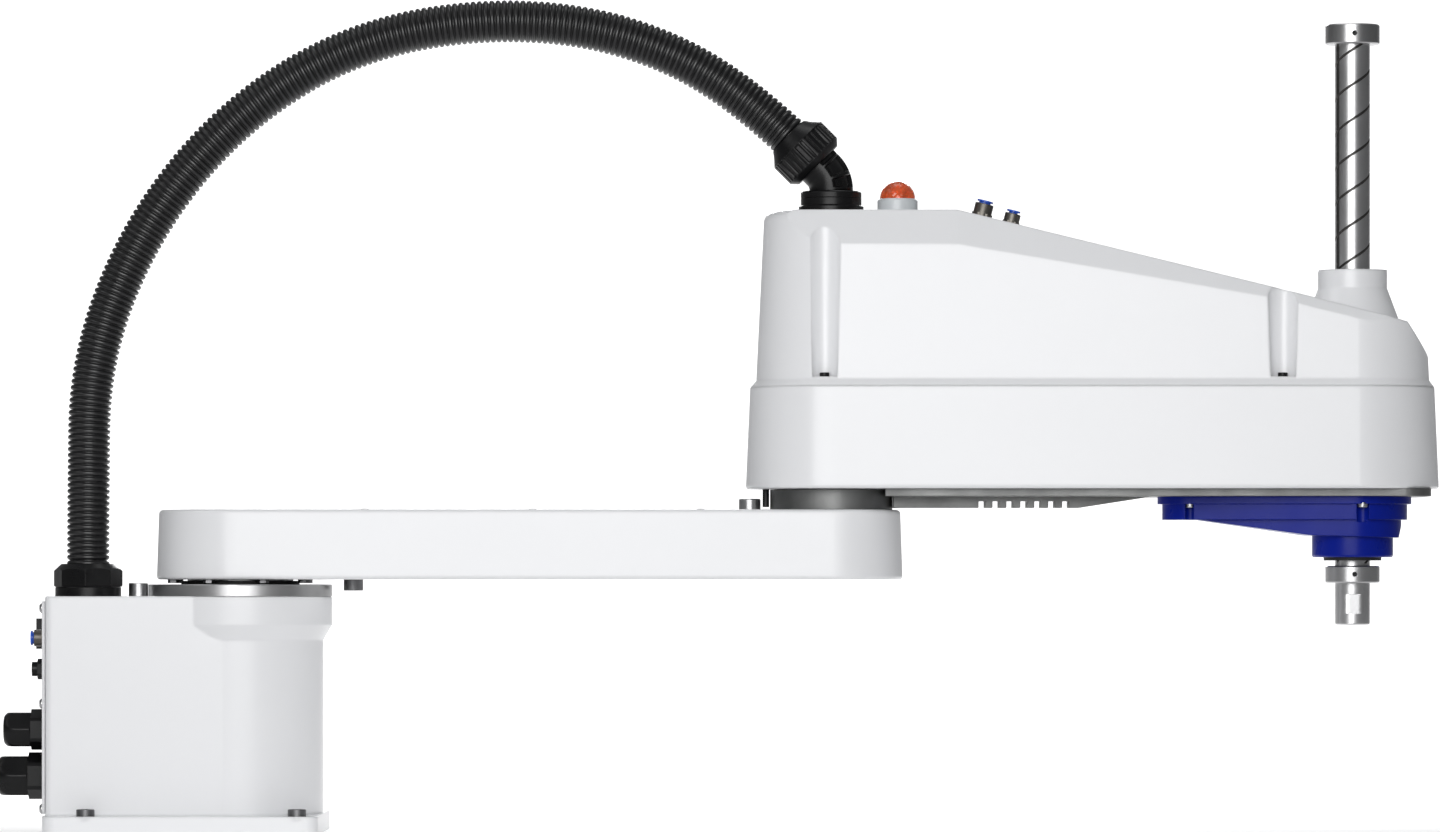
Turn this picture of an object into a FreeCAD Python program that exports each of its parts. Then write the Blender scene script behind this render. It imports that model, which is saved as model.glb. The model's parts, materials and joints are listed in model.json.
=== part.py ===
"""SCARA robot arm: base, two horizontal arms, a ball-screw spline shaft and the hose between them.

Units are millimetres. The origin is the centre of the base's bolt pattern on its mounting face,
+Z is up and +X points along both arms, which are stretched out straight.
"""

import FreeCAD, Part, Sketcher
import math
import os

from FreeCAD import Placement, Rotation, Vector

doc = FreeCAD.newDocument("ScaraArm")
sheet = doc.addObject("Spreadsheet::Sheet", "Sizes")


# ---------------------------------------------------------------- driving dimensions


class Size:
    """A length that knows its number and the spreadsheet expression that gives it."""

    def __init__(self, text, number):
        self.text = text
        self.number = number

    def join(self, sign, other):
        number = other.number if isinstance(other, Size) else other
        text = other.text if isinstance(other, Size) else str(other)
        total = {"+": self.number + number, "-": self.number - number, "*": self.number * number}
        return Size("(%s %s %s)" % (self.text, sign, text), total[sign])

    def __add__(self, other):
        return self.join("+", other)

    def __sub__(self, other):
        return self.join("-", other)

    def __mul__(self, other):
        return self.join("*", other)

    def __neg__(self):
        return self.join("*", -1)


ZERO = Size("0", 0.0)
row_count = 0


def size(name, number):
    """Adds a named cell to the sheet and returns it as a Size."""
    global row_count
    row_count += 1
    sheet.set("A%d" % row_count, name)
    sheet.set("B%d" % row_count, str(number))
    sheet.setAlias("B%d" % row_count, name)
    return Size("Sizes." + name, float(number))


def as_size(value):
    return value if isinstance(value, Size) else Size(str(value), float(value))


# joint axes
JOINT1_X = size("joint1_x", 30)
ARM1_LENGTH = size("arm1_length", 425)
ARM2_LENGTH = size("arm2_length", 375)
JOINT2_X = JOINT1_X + ARM1_LENGTH
JOINT3_X = JOINT2_X + ARM2_LENGTH
RUN_GAP = size("running_clearance", 0.05)
WALL = size("cover_wall", 3)

# base
BOLT_SPACING = size("bolt_spacing", 150)
FLANGE_Z = size("flange_thickness", 13.5)
FLANGE_BACK = size("flange_back", -105.5)
FLANGE_FRONT = size("flange_front", 90)
FLANGE_HALF = size("flange_half_width", 86)
BASE_TOP = size("base_top", 169.5)
BASE_HALF = size("base_half_width", 59)
COLUMN_R = size("column_radius", 59.6)
RIM_R = size("rim_radius", 66)
RIM_Z = size("rim_bottom", 149)
RIM_CONE = size("rim_cone_height", 11)
BASE_WALL = size("base_wall", 7)
PANEL_THICK = size("panel_thickness", 2)

# joint 1
REDUCER1_TOP = size("reducer1_top", 178)
HUB1_R = size("hub1_radius", 38)
SEAL1_R = size("seal1_radius", 42.5)
SEAL1_TOP = size("seal1_top", 180.6)

# arm 1
ARM1_LOW = size("arm1_bottom", 181.5)
ARM1_TOP = size("arm1_top", 231.5)
ARM1_R_BACK = size("arm1_back_radius", 60)
ARM1_R_FRONT = size("arm1_front_radius", 51.4)
ARM_DRAFT = size("arm1_draft", 1.7)
ARM1_FLOOR = size("arm1_floor", 8)
ARM1_COVER_Z = size("arm1_cover_thickness", 3)

# joint 2
REDUCER2_R = size("reducer2_radius", 44)
REDUCER2_TOP = size("reducer2_top", 245.9)
HUB2_R = size("hub2_radius", 27)

# arm 2
ARM2_LOW = size("arm2_bottom", 246.4)
BAND_TOP = size("arm2_band_top", 319.4)
BAND_R_BACK = size("band_back_radius", 61.5)
BAND_R_FRONT = size("band_front_radius", 61.9)
BAND_DRAFT = size("band_draft", 3.2)
LEDGE_TOP = size("cover_ledge_top", 324.5)
COVER_R_BACK = size("cover_back_radius", 54)
COVER_R_FRONT = size("cover_front_radius", 55)
COVER_DRAFT = size("cover_draft", 6)
COVER_TOP = size("cover_top", 446)
COVER_BREAK = size("cover_slope_start", 89.7)
SLOPE_END = size("cover_slope_end", 53.9)
SLOPE_END_Z = size("cover_slope_end_height", 388.7)
ROOF_SIDE_Y = size("roof_side_y", 64)
ROOF_SIDE_LOW = size("roof_side_bottom", 300)
COVER_CORNER = size("cover_rear_corner_radius", 8)
COLLAR_R = size("collar_radius", 24.8)
COLLAR_TOP = size("collar_top", 403.9)
SKIRT_Z = size("skirt_height", 40)
BAND_FLOOR = size("band_floor", 8)

# shaft and its nuts
SHAFT_R = size("shaft_radius", 12.5)
SHAFT_BORE_R = size("shaft_bore_radius", 9)
SHAFT_LOW = size("shaft_bottom", 149)
SHAFT_TOP = size("shaft_top", 580.4)
STOP_R = size("stop_collar_radius", 19.5)

# hose
HOSE_R = size("hose_radius", 15.3)
HOSE_X = size("hose_base_x", -79.5)


# ---------------------------------------------------------------- building blocks


def bind(part, **lengths):
    """Sets properties from Sizes; Placement.Base.x is written as at_x, and so on."""
    for key, length in lengths.items():
        name = "Placement.Base." + key[3:] if key.startswith("at_") else key
        part.setExpression(name, as_size(length).text)
    return part


TURNS = {
    "+Z": Rotation(),
    "-Z": Rotation(Vector(1, 0, 0), 180),
    "+X": Rotation(Vector(0, 1, 0), 90),
    "-X": Rotation(Vector(0, 1, 0), -90),
    "+Y": Rotation(Vector(1, 0, 0), -90),
    "-Y": Rotation(Vector(1, 0, 0), 90),
}


def turn_of(way):
    """The rotation that lays +Z along a way, which is a name in TURNS or a rotation itself."""
    return TURNS[way] if isinstance(way, str) else way


def flipped(way):
    return turn_of(way).multiply(Rotation(Vector(1, 0, 0), 180))


def along(at, way, distance):
    """The point a distance away from at, in the direction of way."""
    direction = turn_of(way).multVec(Vector(0, 0, 1))
    moved = []
    for start, part in zip(at, direction):
        moved.append(start if abs(part) < 1e-9 else as_size(start) + as_size(distance) * round(part, 9))
    return tuple(moved)


def primitive(kind, way, at, **lengths):
    part = doc.addObject("Part::" + kind, kind)
    part.Placement = Placement(Vector(), turn_of(way))
    return bind(part, at_x=at[0], at_y=at[1], at_z=at[2], **lengths)


def cylinder(radius, height, at, way="+Z"):
    return primitive("Cylinder", way, at, Radius=radius, Height=height)


def cone(low_radius, high_radius, height, at, way="+Z"):
    return primitive("Cone", way, at, Radius1=low_radius, Radius2=high_radius, Height=height)


def box(low, high):
    """A box between two corners, given as three Sizes each."""
    low = [as_size(v) for v in low]
    high = [as_size(v) for v in high]
    spans = dict(zip(("Length", "Width", "Height"), (b - a for a, b in zip(low, high))))
    return primitive("Box", "+Z", low, **spans)


def prism(sides, corner_radius, height, at, way="+Z"):
    part = primitive("Prism", way, at, Circumradius=corner_radius, Height=height)
    part.Polygon = sides
    return part


def sphere(radius, at):
    return primitive("Sphere", "+Z", at, Radius=radius)


def join(*parts):
    """One solid from touching solids."""
    part = doc.addObject("Part::MultiFuse", "Join")
    part.Shapes = list(parts)
    part.Refine = True
    return part


def group(*parts):
    """Separate solids in one object."""
    part = doc.addObject("Part::Compound", "Group")
    part.Links = list(parts)
    return part


def cut(base, *tools):
    part = doc.addObject("Part::Cut", "Cut")
    part.Base = base
    part.Tool = tools[0] if len(tools) == 1 else group(*tools)
    part.Refine = True
    return part


def common(*parts):
    part = doc.addObject("Part::MultiCommon", "Common")
    part.Shapes = list(parts)
    part.Refine = True
    return part


def edge_ids(shape, wanted):
    return [i + 1 for i, edge in enumerate(shape.Edges) if wanted(edge)]


def dressed(kind, base, radius, wanted):
    """Rounds or chamfers the edges that the test wanted picks."""
    doc.recompute()
    part = doc.addObject("Part::" + kind, kind)
    part.Base = base
    amount = as_size(radius).number
    part.Edges = [(i, amount, amount) for i in edge_ids(base.Shape, wanted)]
    return part


def at_height(z, tolerance=0.01):
    """An edge test: the edge lies flat at one height."""
    level = as_size(z).number

    def test(edge):
        b = edge.BoundBox
        return abs(b.ZMin - level) < tolerance and abs(b.ZMax - level) < tolerance

    return test


def upright(edge):
    """An edge test: the edge is a vertical straight line."""
    b = edge.BoundBox
    return b.XLength < 0.01 and b.YLength < 0.01


def new_body(name):
    return doc.addObject("PartDesign::Body", name)


def plane_sketch(body, role, offset=None):
    """A sketch on one of the body's own origin planes, moved along its normal by offset."""
    planes = {f.Role: f for f in body.Origin.OriginFeatures}
    sketch = body.newObject("Sketcher::SketchObject", "Sketch")
    sketch.AttachmentSupport = [(planes[role], "")]
    sketch.MapMode = "FlatFace"
    if offset is not None:
        sketch.setExpression("AttachmentOffset.Base.z", as_size(offset).text)
    return sketch


def fix_point(sketch, geometry, end, across, up):
    """Ties a sketch point to the two lengths, or to an axis where a length is zero."""
    for axis, kind, length in ((-2, "DistanceX", across), (-1, "DistanceY", up)):
        length = as_size(length)
        if length.text == "0":
            sketch.addConstraint(Sketcher.Constraint("PointOnObject", geometry, end, axis))
            continue
        sketch.addConstraint(Sketcher.Constraint(kind, -1, 1, geometry, end, length.number))
        sketch.setExpression("Constraints[%d]" % (sketch.ConstraintCount - 1), length.text)


def outline(body, role, points, offset=None):
    """A closed straight-sided sketch through the points, each a pair of Sizes."""
    sketch = plane_sketch(body, role, offset)
    corners = [Vector(as_size(a).number, as_size(b).number, 0) for a, b in points]
    for start, end in zip(corners, corners[1:] + corners[:1]):
        sketch.addGeometry(Part.LineSegment(start, end), False)
    for i in range(len(corners)):
        after = (i + 1) % len(corners)
        sketch.addConstraint(Sketcher.Constraint("Coincident", i, 2, after, 1))
    for i, (across, up) in enumerate(points):
        fix_point(sketch, i, 1, across, up)
    return sketch


def turned(points, x=ZERO, y=ZERO, z=ZERO, way="+Z", name="Turned"):
    """A turned body from an outline of (radius, height) points, placed on its axis."""
    body = new_body(name)
    sketch = outline(body, "XZ_Plane", points)
    spin = body.newObject("PartDesign::Revolution", "Revolution")
    spin.Profile = sketch
    spin.ReferenceAxis = (sketch, ["V_Axis"])
    spin.Angle = 360
    body.Placement = Placement(Vector(), turn_of(way))
    return bind(body, at_x=x, at_y=y, at_z=z)


def padded(role, points, length, offset=None, midplane=False, name="Pad"):
    """A straight-sided outline pushed out along its plane's normal."""
    body = new_body(name)
    sketch = outline(body, role, points, offset)
    pad = body.newObject("PartDesign::Pad", "Pad")
    pad.Profile = sketch
    pad.Midplane = midplane
    pad.setExpression("Length", as_size(length).text)
    return body


def stadium_sketch(body, z, back, front):
    """A long round-ended outline at height z; back and front are (x, radius) pairs."""
    sketch = plane_sketch(body, "XY_Plane", z)
    (xb, rb), (xf, rf) = [(as_size(x), as_size(r)) for x, r in (back, front)]
    lean = math.acos((rb.number - rf.number) / (xf.number - xb.number))
    ends = []
    for x, r in ((xb, rb), (xf, rf)):
        spot = Vector(math.cos(lean), math.sin(lean), 0) * r.number
        ends.append((Vector(x.number + spot.x, spot.y, 0), Vector(x.number + spot.x, -spot.y, 0)))
    for x, r, start, end in ((xb, rb, lean, 2 * math.pi - lean), (xf, rf, -lean, lean)):
        circle = Part.Circle(Vector(x.number, 0, 0), Vector(0, 0, 1), r.number)
        sketch.addGeometry(Part.ArcOfCircle(circle, start, end), False)
    sketch.addGeometry(Part.LineSegment(ends[0][0], ends[1][0]), False)
    sketch.addGeometry(Part.LineSegment(ends[0][1], ends[1][1]), False)
    for arc, arc_end, line, line_end in ((0, 1, 2, 1), (0, 2, 3, 1), (1, 2, 2, 2), (1, 1, 3, 2)):
        sketch.addConstraint(Sketcher.Constraint("Tangent", arc, arc_end, line, line_end))
    for arc, x, r in ((0, xb, rb), (1, xf, rf)):
        fix_point(sketch, arc, 3, x, ZERO)
        sketch.addConstraint(Sketcher.Constraint("Radius", arc, r.number))
        sketch.setExpression("Constraints[%d]" % (sketch.ConstraintCount - 1), r.text)
    return sketch


def lofted(sketches, body):
    """A ruled loft, made from the last sketch back to the first so that the solid isn't inside out."""
    loft = body.newObject("PartDesign::AdditiveLoft", "Loft")
    loft.Profile = sketches[-1]
    loft.Sections = sketches[-2::-1]
    loft.Ruled = True
    return body


def stadium(levels, name="Stadium"):
    """A round-ended solid; levels are (z, (back x, radius), (front x, radius))."""
    body = new_body(name)
    return lofted([stadium_sketch(body, *level) for level in levels], body)


nodes = []


def node(name, part):
    """Names a finished sub-part; the name is also its file's name."""
    part.Label = name
    nodes.append(part)
    return part


# ---------------------------------------------------------------- base

half_spacing = BOLT_SPACING * 0.5
BOLT_SPOTS = [(half_spacing * i, half_spacing * j) for i in (-1, 1) for j in (-1, 1)]
SPOTFACE_DEPTH = size("spotface_depth", 3)
SPOTFACE_R = size("spotface_radius", 10.5)
BOLT_HOLE_R = size("bolt_hole_radius", 4.5)
BOLT_R = size("bolt_radius", 4)
THREAD_R = size("thread_radius", 3.6)
THREAD_LENGTH = size("thread_length", 16)
BOLT_HEAD_R = size("bolt_head_radius", 6.5)
BOLT_HEAD_Z = size("bolt_head_height", 8)

UPPER_GLAND = (size("upper_gland_y", -18), size("upper_gland_z", 74), size("upper_gland_radius", 14.2))
LOWER_GLAND = (size("lower_gland_y", -18), size("lower_gland_z", 40.9), size("lower_gland_radius", 16.3))
GLANDS = [
    (*UPPER_GLAND, size("upper_gland_length", 30.6)),
    (*LOWER_GLAND, size("lower_gland_length", 35.5)),
]
PORT_Y = size("air_port_y", -24)
PORT_Z = size("air_port_z", 139.6)
PLUG_Y = size("blank_plug_y", -24)
PLUG_Z = size("blank_plug_z", 117.4)
PANEL_SCREW_Y = size("panel_screw_y", 51)
PANEL_SCREW_ZS = [size("panel_screw_z%d" % i, z) for i, z in enumerate((18, 93, 161))]
HOSE_HOLE_R = size("hose_hole_radius", 14)
STOP_BOLT_R = size("stop_bolt_radius", 7)
STOP_SHANK_R = size("stop_bolt_shank_radius", 4)
BASE_STOP_X = JOINT1_X - 73.4
HEX_SOCKET_R = size("hex_socket_corner_radius", 3.46)
PORT_THREAD_R = size("port_thread_radius", 4.9)
SCREW_R = size("panel_screw_radius", 2)
SCREW_LENGTH = size("panel_screw_length", 9)
SCREW_HEAD_R = size("panel_screw_head_radius", 3.6)
SCREW_HEAD_Z = size("panel_screw_head_height", 2.2)
PANEL_FACE = FLANGE_BACK - PANEL_THICK
PANEL_HALF = size("panel_half_width", 57)
PANEL_LOW = size("panel_bottom", 14.5)
PANEL_TOP = size("panel_top", 166)
SOCKET_Y = size("signal_socket_y", 18)
SOCKET_LOW = size("signal_socket_bottom", 129)
SOCKET_TOP = size("signal_socket_top", 156)
SOCKET_HALF = size("signal_socket_half_width", 8)
REDUCER1_LOW = size("reducer1_bottom", 152)
MOTOR1_Z = size("motor1_height", 105)


def on_panel(make):
    """Makes one solid for each rear panel screw, mirrored about the middle."""
    return [make(PANEL_SCREW_Y * side, z) for side in (-1, 1) for z in PANEL_SCREW_ZS]


def base_casting():
    back = FLANGE_BACK
    flange = box((back, -FLANGE_HALF, ZERO), (FLANGE_FRONT, FLANGE_HALF, FLANGE_Z))
    flange = dressed("Fillet", flange, size("flange_corner", 9), upright)
    tower = box((back, -BASE_HALF, ZERO), (JOINT1_X, BASE_HALF, BASE_TOP))
    tower = dressed("Fillet", tower, size("tower_corner", 5), lambda e: upright(e) and e.BoundBox.XMin < 0)
    spot = (JOINT1_X, ZERO, ZERO)
    column = cylinder(COLUMN_R, BASE_TOP, spot)
    rim = cylinder(RIM_R, BASE_TOP - RIM_Z, (JOINT1_X, ZERO, RIM_Z))
    taper = cone(COLUMN_R, RIM_R, RIM_CONE, (JOINT1_X, ZERO, RIM_Z - RIM_CONE))
    solid = join(flange, tower, column, rim, taper)
    solid = dressed("Fillet", solid, size("base_top_round", 1.5), at_height(BASE_TOP))
    inside = BASE_HALF - BASE_WALL
    roof = BASE_TOP - BASE_WALL
    room = box((back - 1, -inside, FLANGE_Z), (JOINT1_X, inside, roof))
    well = cylinder(COLUMN_R - BASE_WALL, roof - FLANGE_Z, (JOINT1_X, ZERO, FLANGE_Z))
    mouth = cylinder(HUB1_R + 8, BASE_WALL + 1, (JOINT1_X, ZERO, roof - 0.5))
    hose_hole = cylinder(HOSE_HOLE_R, BASE_WALL + 1, (HOSE_X, ZERO, roof - 0.5))
    stop_hole = cylinder(STOP_SHANK_R + RUN_GAP, 8, (BASE_STOP_X, ZERO, BASE_TOP - 6.5))
    tools = [room, well, mouth, hose_hole, stop_hole]
    for x, y in BOLT_SPOTS:
        tools.append(cylinder(BOLT_HOLE_R, FLANGE_Z + 2, (x, y, -as_size(1))))
        tools.append(cylinder(SPOTFACE_R, SPOTFACE_DEPTH + 1, (x, y, FLANGE_Z - SPOTFACE_DEPTH)))
    tools += on_panel(lambda y, z: cylinder(SCREW_R + 0.05, SCREW_LENGTH, (back - 0.5, y, z), "+X"))
    return cut(solid, *tools)


def rear_panel():
    face = PANEL_FACE
    plate = box((face, -PANEL_HALF, PANEL_LOW), (FLANGE_BACK, PANEL_HALF, PANEL_TOP))
    plate = dressed("Fillet", plate, 3, lambda e: e.BoundBox.XLength > 1)
    holes = [
        cylinder(UPPER_GLAND[2] - 5, 6, (face - 2, UPPER_GLAND[0], UPPER_GLAND[1]), "+X"),
        cylinder(LOWER_GLAND[2] - 5, 6, (face - 2, LOWER_GLAND[0], LOWER_GLAND[1]), "+X"),
        cylinder(PORT_THREAD_R, 6, (face - 2, PORT_Y, PORT_Z), "+X"),
        cylinder(PORT_THREAD_R, 6, (face - 2, PLUG_Y, PLUG_Z), "+X"),
        box(
            (face - 2, SOCKET_Y - SOCKET_HALF, SOCKET_LOW + 2),
            (face + 4, SOCKET_Y + SOCKET_HALF, SOCKET_TOP - 2),
        ),
    ]
    holes += on_panel(lambda y, z: cylinder(SCREW_R + 0.05, 6, (face - 2, y, z), "+X"))
    return cut(plate, *holes)


def pan_screw(y, z):
    """A pan head on the panel's face, its shank through the panel and a cross recess."""
    face = PANEL_FACE
    head = turned(
        [
            (ZERO, ZERO),
            (SCREW_HEAD_R, ZERO),
            (SCREW_HEAD_R, SCREW_HEAD_Z * 0.4),
            (SCREW_HEAD_R * 0.7, SCREW_HEAD_Z),
            (ZERO, SCREW_HEAD_Z),
        ],
        face,
        y,
        z,
        "-X",
    )
    shank = cylinder(SCREW_R, SCREW_LENGTH - 1, (face, y, z), "+X")
    deep = face - SCREW_HEAD_Z - 0.5
    slots = [
        box((deep, y - wide, z - tall), (deep + 1.6, y + wide, z + tall))
        for wide, tall in ((0.4, 2), (2, 0.4))
    ]
    return cut(join(head, shank), *slots)


def cap_screw(head_r, head_z, shank_r, shank_z, at, way="+Z"):
    """A socket-head cap screw whose head stands up from at along way, its shank the other way."""
    head = cylinder(head_r, head_z, at, way)
    head = dressed("Fillet", head, 0.6, far_end(at, way, head_z))
    shank = cylinder(shank_r, shank_z, at, flipped(way))
    socket = prism(6, head_r * 0.52, head_z, along(at, way, head_z * 0.45), way)
    return cut(join(head, shank), socket)


def far_end(at, way, length):
    """An edge test: the circle at the far end of a cylinder that starts at at."""
    tip = Vector(*[as_size(v).number for v in along(at, way, length)])

    def test(edge):
        return edge.Closed and (edge.CenterOfMass - tip).Length < 0.01

    return test


def mounting_bolt(x, y):
    """A socket-head bolt: head in its spotface, plain shank in the flange, thread below the mounting face."""
    seat = FLANGE_Z - SPOTFACE_DEPTH
    head = cylinder(BOLT_HEAD_R, BOLT_HEAD_Z, (x, y, seat))
    head = dressed("Fillet", head, 0.8, at_height(seat + BOLT_HEAD_Z))
    shank = cylinder(BOLT_R, seat, (x, y, ZERO))
    thread = cylinder(THREAD_R, THREAD_LENGTH, (x, y, -THREAD_LENGTH))
    thread = dressed("Chamfer", thread, 0.8, at_height(-THREAD_LENGTH))
    socket = prism(6, HEX_SOCKET_R, BOLT_HEAD_Z, (x, y, seat + BOLT_HEAD_Z * 0.5))
    return cut(join(head, shank, thread), socket)



def gland(y, z, r, length):
    """A cable gland: hexagon body against the panel, and a domed cap with the cable's hole."""
    face = PANEL_FACE
    body_z = length * 0.36
    hexagon = prism(6, r * 1.08, body_z, (face, y, z), "-X")
    hexagon = common(hexagon, cylinder(r * 1.03, body_z, (face, y, z), "-X"))
    tail = cylinder(r - 5.05, 14, (face, y, z), "+X")
    nut = prism(6, r * 1.05, 5, (FLANGE_BACK, y, z), "+X")
    hollow = cylinder(r - 8, length + 40, (face - length - 2, y, z), "+X")
    return cut(join(hexagon, tail, nut), hollow)


def gland_cap(y, z, r, length):
    """The gland's dome nut."""
    face = PANEL_FACE
    start = face - length * 0.36
    points = [
        (r - 6.5, ZERO),
        (r * 0.9, ZERO),
        (r * 0.97, length * 0.05),
        (r * 0.97, length * 0.38),
        (r * 0.88, length * 0.54),
        (r * 0.74, length * 0.64),
        (r - 6.5, length * 0.64),
    ]
    return turned(points, start, y, z, "-X")


def signal_connector():
    """A shielded multi-pin socket with its flange and two lock posts."""
    face = PANEL_FACE
    plate = box(
        (face - 1.5, SOCKET_Y - SOCKET_HALF, SOCKET_LOW - 6),
        (face, SOCKET_Y + SOCKET_HALF, SOCKET_TOP + 6),
    )
    points = [
        (SOCKET_Y - 6, SOCKET_LOW + 2.5),
        (SOCKET_Y + 6, SOCKET_LOW + 4.5),
        (SOCKET_Y + 6, SOCKET_TOP - 4.5),
        (SOCKET_Y - 6, SOCKET_TOP - 2.5),
    ]
    shell = padded("YZ_Plane", points, 16, face - 10.6)
    posts = [cylinder(2.4, 5, (face, SOCKET_Y, z), "-X") for z in (SOCKET_LOW - 2, SOCKET_TOP + 2)]
    return join(plate, shell, *posts)


def push_fitting(at, way, r, height, tube_r, tail_r, tail_z):
    """A push-in air fitting with a stepped bore: the collet's counterbore, then the tube's seat."""
    hexagon = prism(6, r * 1.1, height * 0.34, at, way)
    barrel = cylinder(r, height, at, way)
    barrel = dressed("Fillet", barrel, 0.5, far_end(at, way, height))
    tail = cylinder(tail_r, tail_z, at, flipped(way))
    seat = cylinder(tube_r, height + tail_z + 4, along(at, way, height + 2), flipped(way))
    throat = cylinder(tube_r + 1.3, height * 0.5 + 1, along(at, way, height * 0.5), way)
    return cut(join(hexagon, barrel, tail), seat, throat)


def collet(at, way, r, height, tube_r):
    """The release collar that is pressed to free the tube; its sleeve runs in the fitting's throat."""
    inside = tube_r + 0.2
    points = [
        (inside, height * 0.5 + 1.7),
        (tube_r + 1.25, height * 0.5 + 1.7),
        (tube_r + 1.25, height + 1.2),
        (r * 0.86, height + 1.2),
        (r * 0.86, height + 2.4),
        (inside + 0.4, height + 2.4),
        (inside, height + 2),
    ]
    return turned(points, at[0], at[1], at[2], way)


HOSE_RING_Z = size("hose_ring_height", 6.8)
HOSE_NUT_LOW = BASE_TOP + HOSE_RING_Z
HOSE_NUT_Z = size("hose_nut_height", 16.5)
HOSE_NECK_R = size("hose_neck_radius", 11)


def hose_ring():
    """The threaded lower half of the hose coupling, on the base's roof."""
    ring = cylinder(size("hose_ring_radius", 23.7), HOSE_RING_Z, (HOSE_X, ZERO, BASE_TOP))
    ring = dressed("Fillet", ring, 1, at_height(HOSE_NUT_LOW))
    tail = cylinder(HOSE_HOLE_R - RUN_GAP, 12, (HOSE_X, ZERO, BASE_TOP - 12))
    hollow = cylinder(HOSE_NECK_R, 40, (HOSE_X, ZERO, BASE_TOP - 20))
    return cut(join(ring, tail), hollow)


def hose_nut():
    """The octagonal clamp nut that the hose comes out of."""
    spot = (HOSE_X, ZERO, HOSE_NUT_LOW)
    corner = size("hose_nut_corner_radius", 24.7)
    ring = prism(8, corner, HOSE_NUT_Z, spot)
    round_off = turned(
        [
            (ZERO, ZERO),
            (corner - 0.8, ZERO),
            (corner, as_size(0.8)),
            (corner, HOSE_NUT_Z - 5),
            (corner - 5.5, HOSE_NUT_Z),
            (ZERO, HOSE_NUT_Z),
        ],
        HOSE_X,
        ZERO,
        HOSE_NUT_LOW,
    )
    hollow = cylinder(HOSE_R + 0.2, HOSE_NUT_Z, (HOSE_X, ZERO, HOSE_NUT_LOW + 4))
    neck = cylinder(HOSE_NECK_R, HOSE_NUT_Z + 2, (HOSE_X, ZERO, HOSE_NUT_LOW - 1))
    return cut(common(ring, round_off), hollow, neck)


def joint1_motor():
    """Hangs from the reducer, inside the column."""
    low = REDUCER1_LOW - MOTOR1_Z
    flange = cylinder(HUB1_R + 7, 6, (JOINT1_X, ZERO, REDUCER1_LOW - 6))
    half = size("motor1_body_half", 30)
    body = box((JOINT1_X - half, -half, low), (JOINT1_X + half, half, REDUCER1_LOW - 6))
    body = dressed("Fillet", body, 4, upright)
    cap = cylinder(24, 10, (JOINT1_X, ZERO, low - 10))
    return join(flange, body, cap)


def joint1_reducer():
    """The strain-wave unit: outer ring on the base's roof, its housing down in the column's mouth."""
    ring = cylinder(RIM_R, REDUCER1_TOP - BASE_TOP, (JOINT1_X, ZERO, BASE_TOP))
    ring = dressed("Fillet", ring, 0.8, at_height(REDUCER1_TOP))
    housing = cylinder(HUB1_R + 7.9, BASE_TOP - REDUCER1_LOW, (JOINT1_X, ZERO, REDUCER1_LOW))
    bore = cylinder(HUB1_R, 60, (JOINT1_X, ZERO, REDUCER1_LOW + 8))
    return cut(join(ring, housing), bore)


def joint1_hub():
    """The reducer's output, which carries arm 1."""
    plug = cylinder(HUB1_R - RUN_GAP, ARM1_LOW - REDUCER1_LOW - 9, (JOINT1_X, ZERO, REDUCER1_LOW + 9))
    return cut(plug, cylinder(14, 60, (JOINT1_X, ZERO, REDUCER1_LOW)))


def joint1_seal():
    ring = cylinder(SEAL1_R, SEAL1_TOP - REDUCER1_TOP, (JOINT1_X, ZERO, REDUCER1_TOP))
    bore = cylinder(HUB1_R + 0.3, 10, (JOINT1_X, ZERO, REDUCER1_TOP - 1))
    return cut(ring, bore)


node("base_casting", base_casting())
node("rear_panel", rear_panel())
node("rear_panel_screws", group(*on_panel(pan_screw)))
node("mounting_bolts", group(*[mounting_bolt(x, y) for x, y in BOLT_SPOTS]))
node("cable_gland_bodies", group(*[gland(*spot) for spot in GLANDS]))
node("cable_gland_caps", group(*[gland_cap(*spot) for spot in GLANDS]))
node("signal_connector", signal_connector())
BASE_PORT = (PANEL_FACE, PORT_Y, PORT_Z)
BASE_PORT_SIZE = (size("base_port_radius", 6), size("base_port_height", 8.5))
TUBE_R = size("large_tube_radius", 3)
node(
    "base_air_fitting",
    push_fitting(BASE_PORT, "-X", *BASE_PORT_SIZE, TUBE_R, PORT_THREAD_R - 0.05, as_size(9)),
)
node("base_air_collet", collet(BASE_PORT, "-X", *BASE_PORT_SIZE, TUBE_R))
node(
    "blanking_plug",
    join(
        prism(6, 7.4, 6, (PANEL_FACE, PLUG_Y, PLUG_Z), "-X"),
        cylinder(5.2, 10, (PANEL_FACE, PLUG_Y, PLUG_Z), "-X"),
        cylinder(PORT_THREAD_R - 0.05, 8, (PANEL_FACE, PLUG_Y, PLUG_Z), "+X"),
    ),
)
node("hose_base_ring", hose_ring())
node("hose_base_nut", hose_nut())
node("joint1_motor", joint1_motor())
node("joint1_reducer", joint1_reducer())
node("joint1_seal", joint1_seal())
node(
    "base_stop_bolt",
    cap_screw(STOP_BOLT_R, as_size(9.5), STOP_SHANK_R, as_size(6), (BASE_STOP_X, ZERO, BASE_TOP)),
)

# ---------------------------------------------------------------- arm 1

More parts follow.
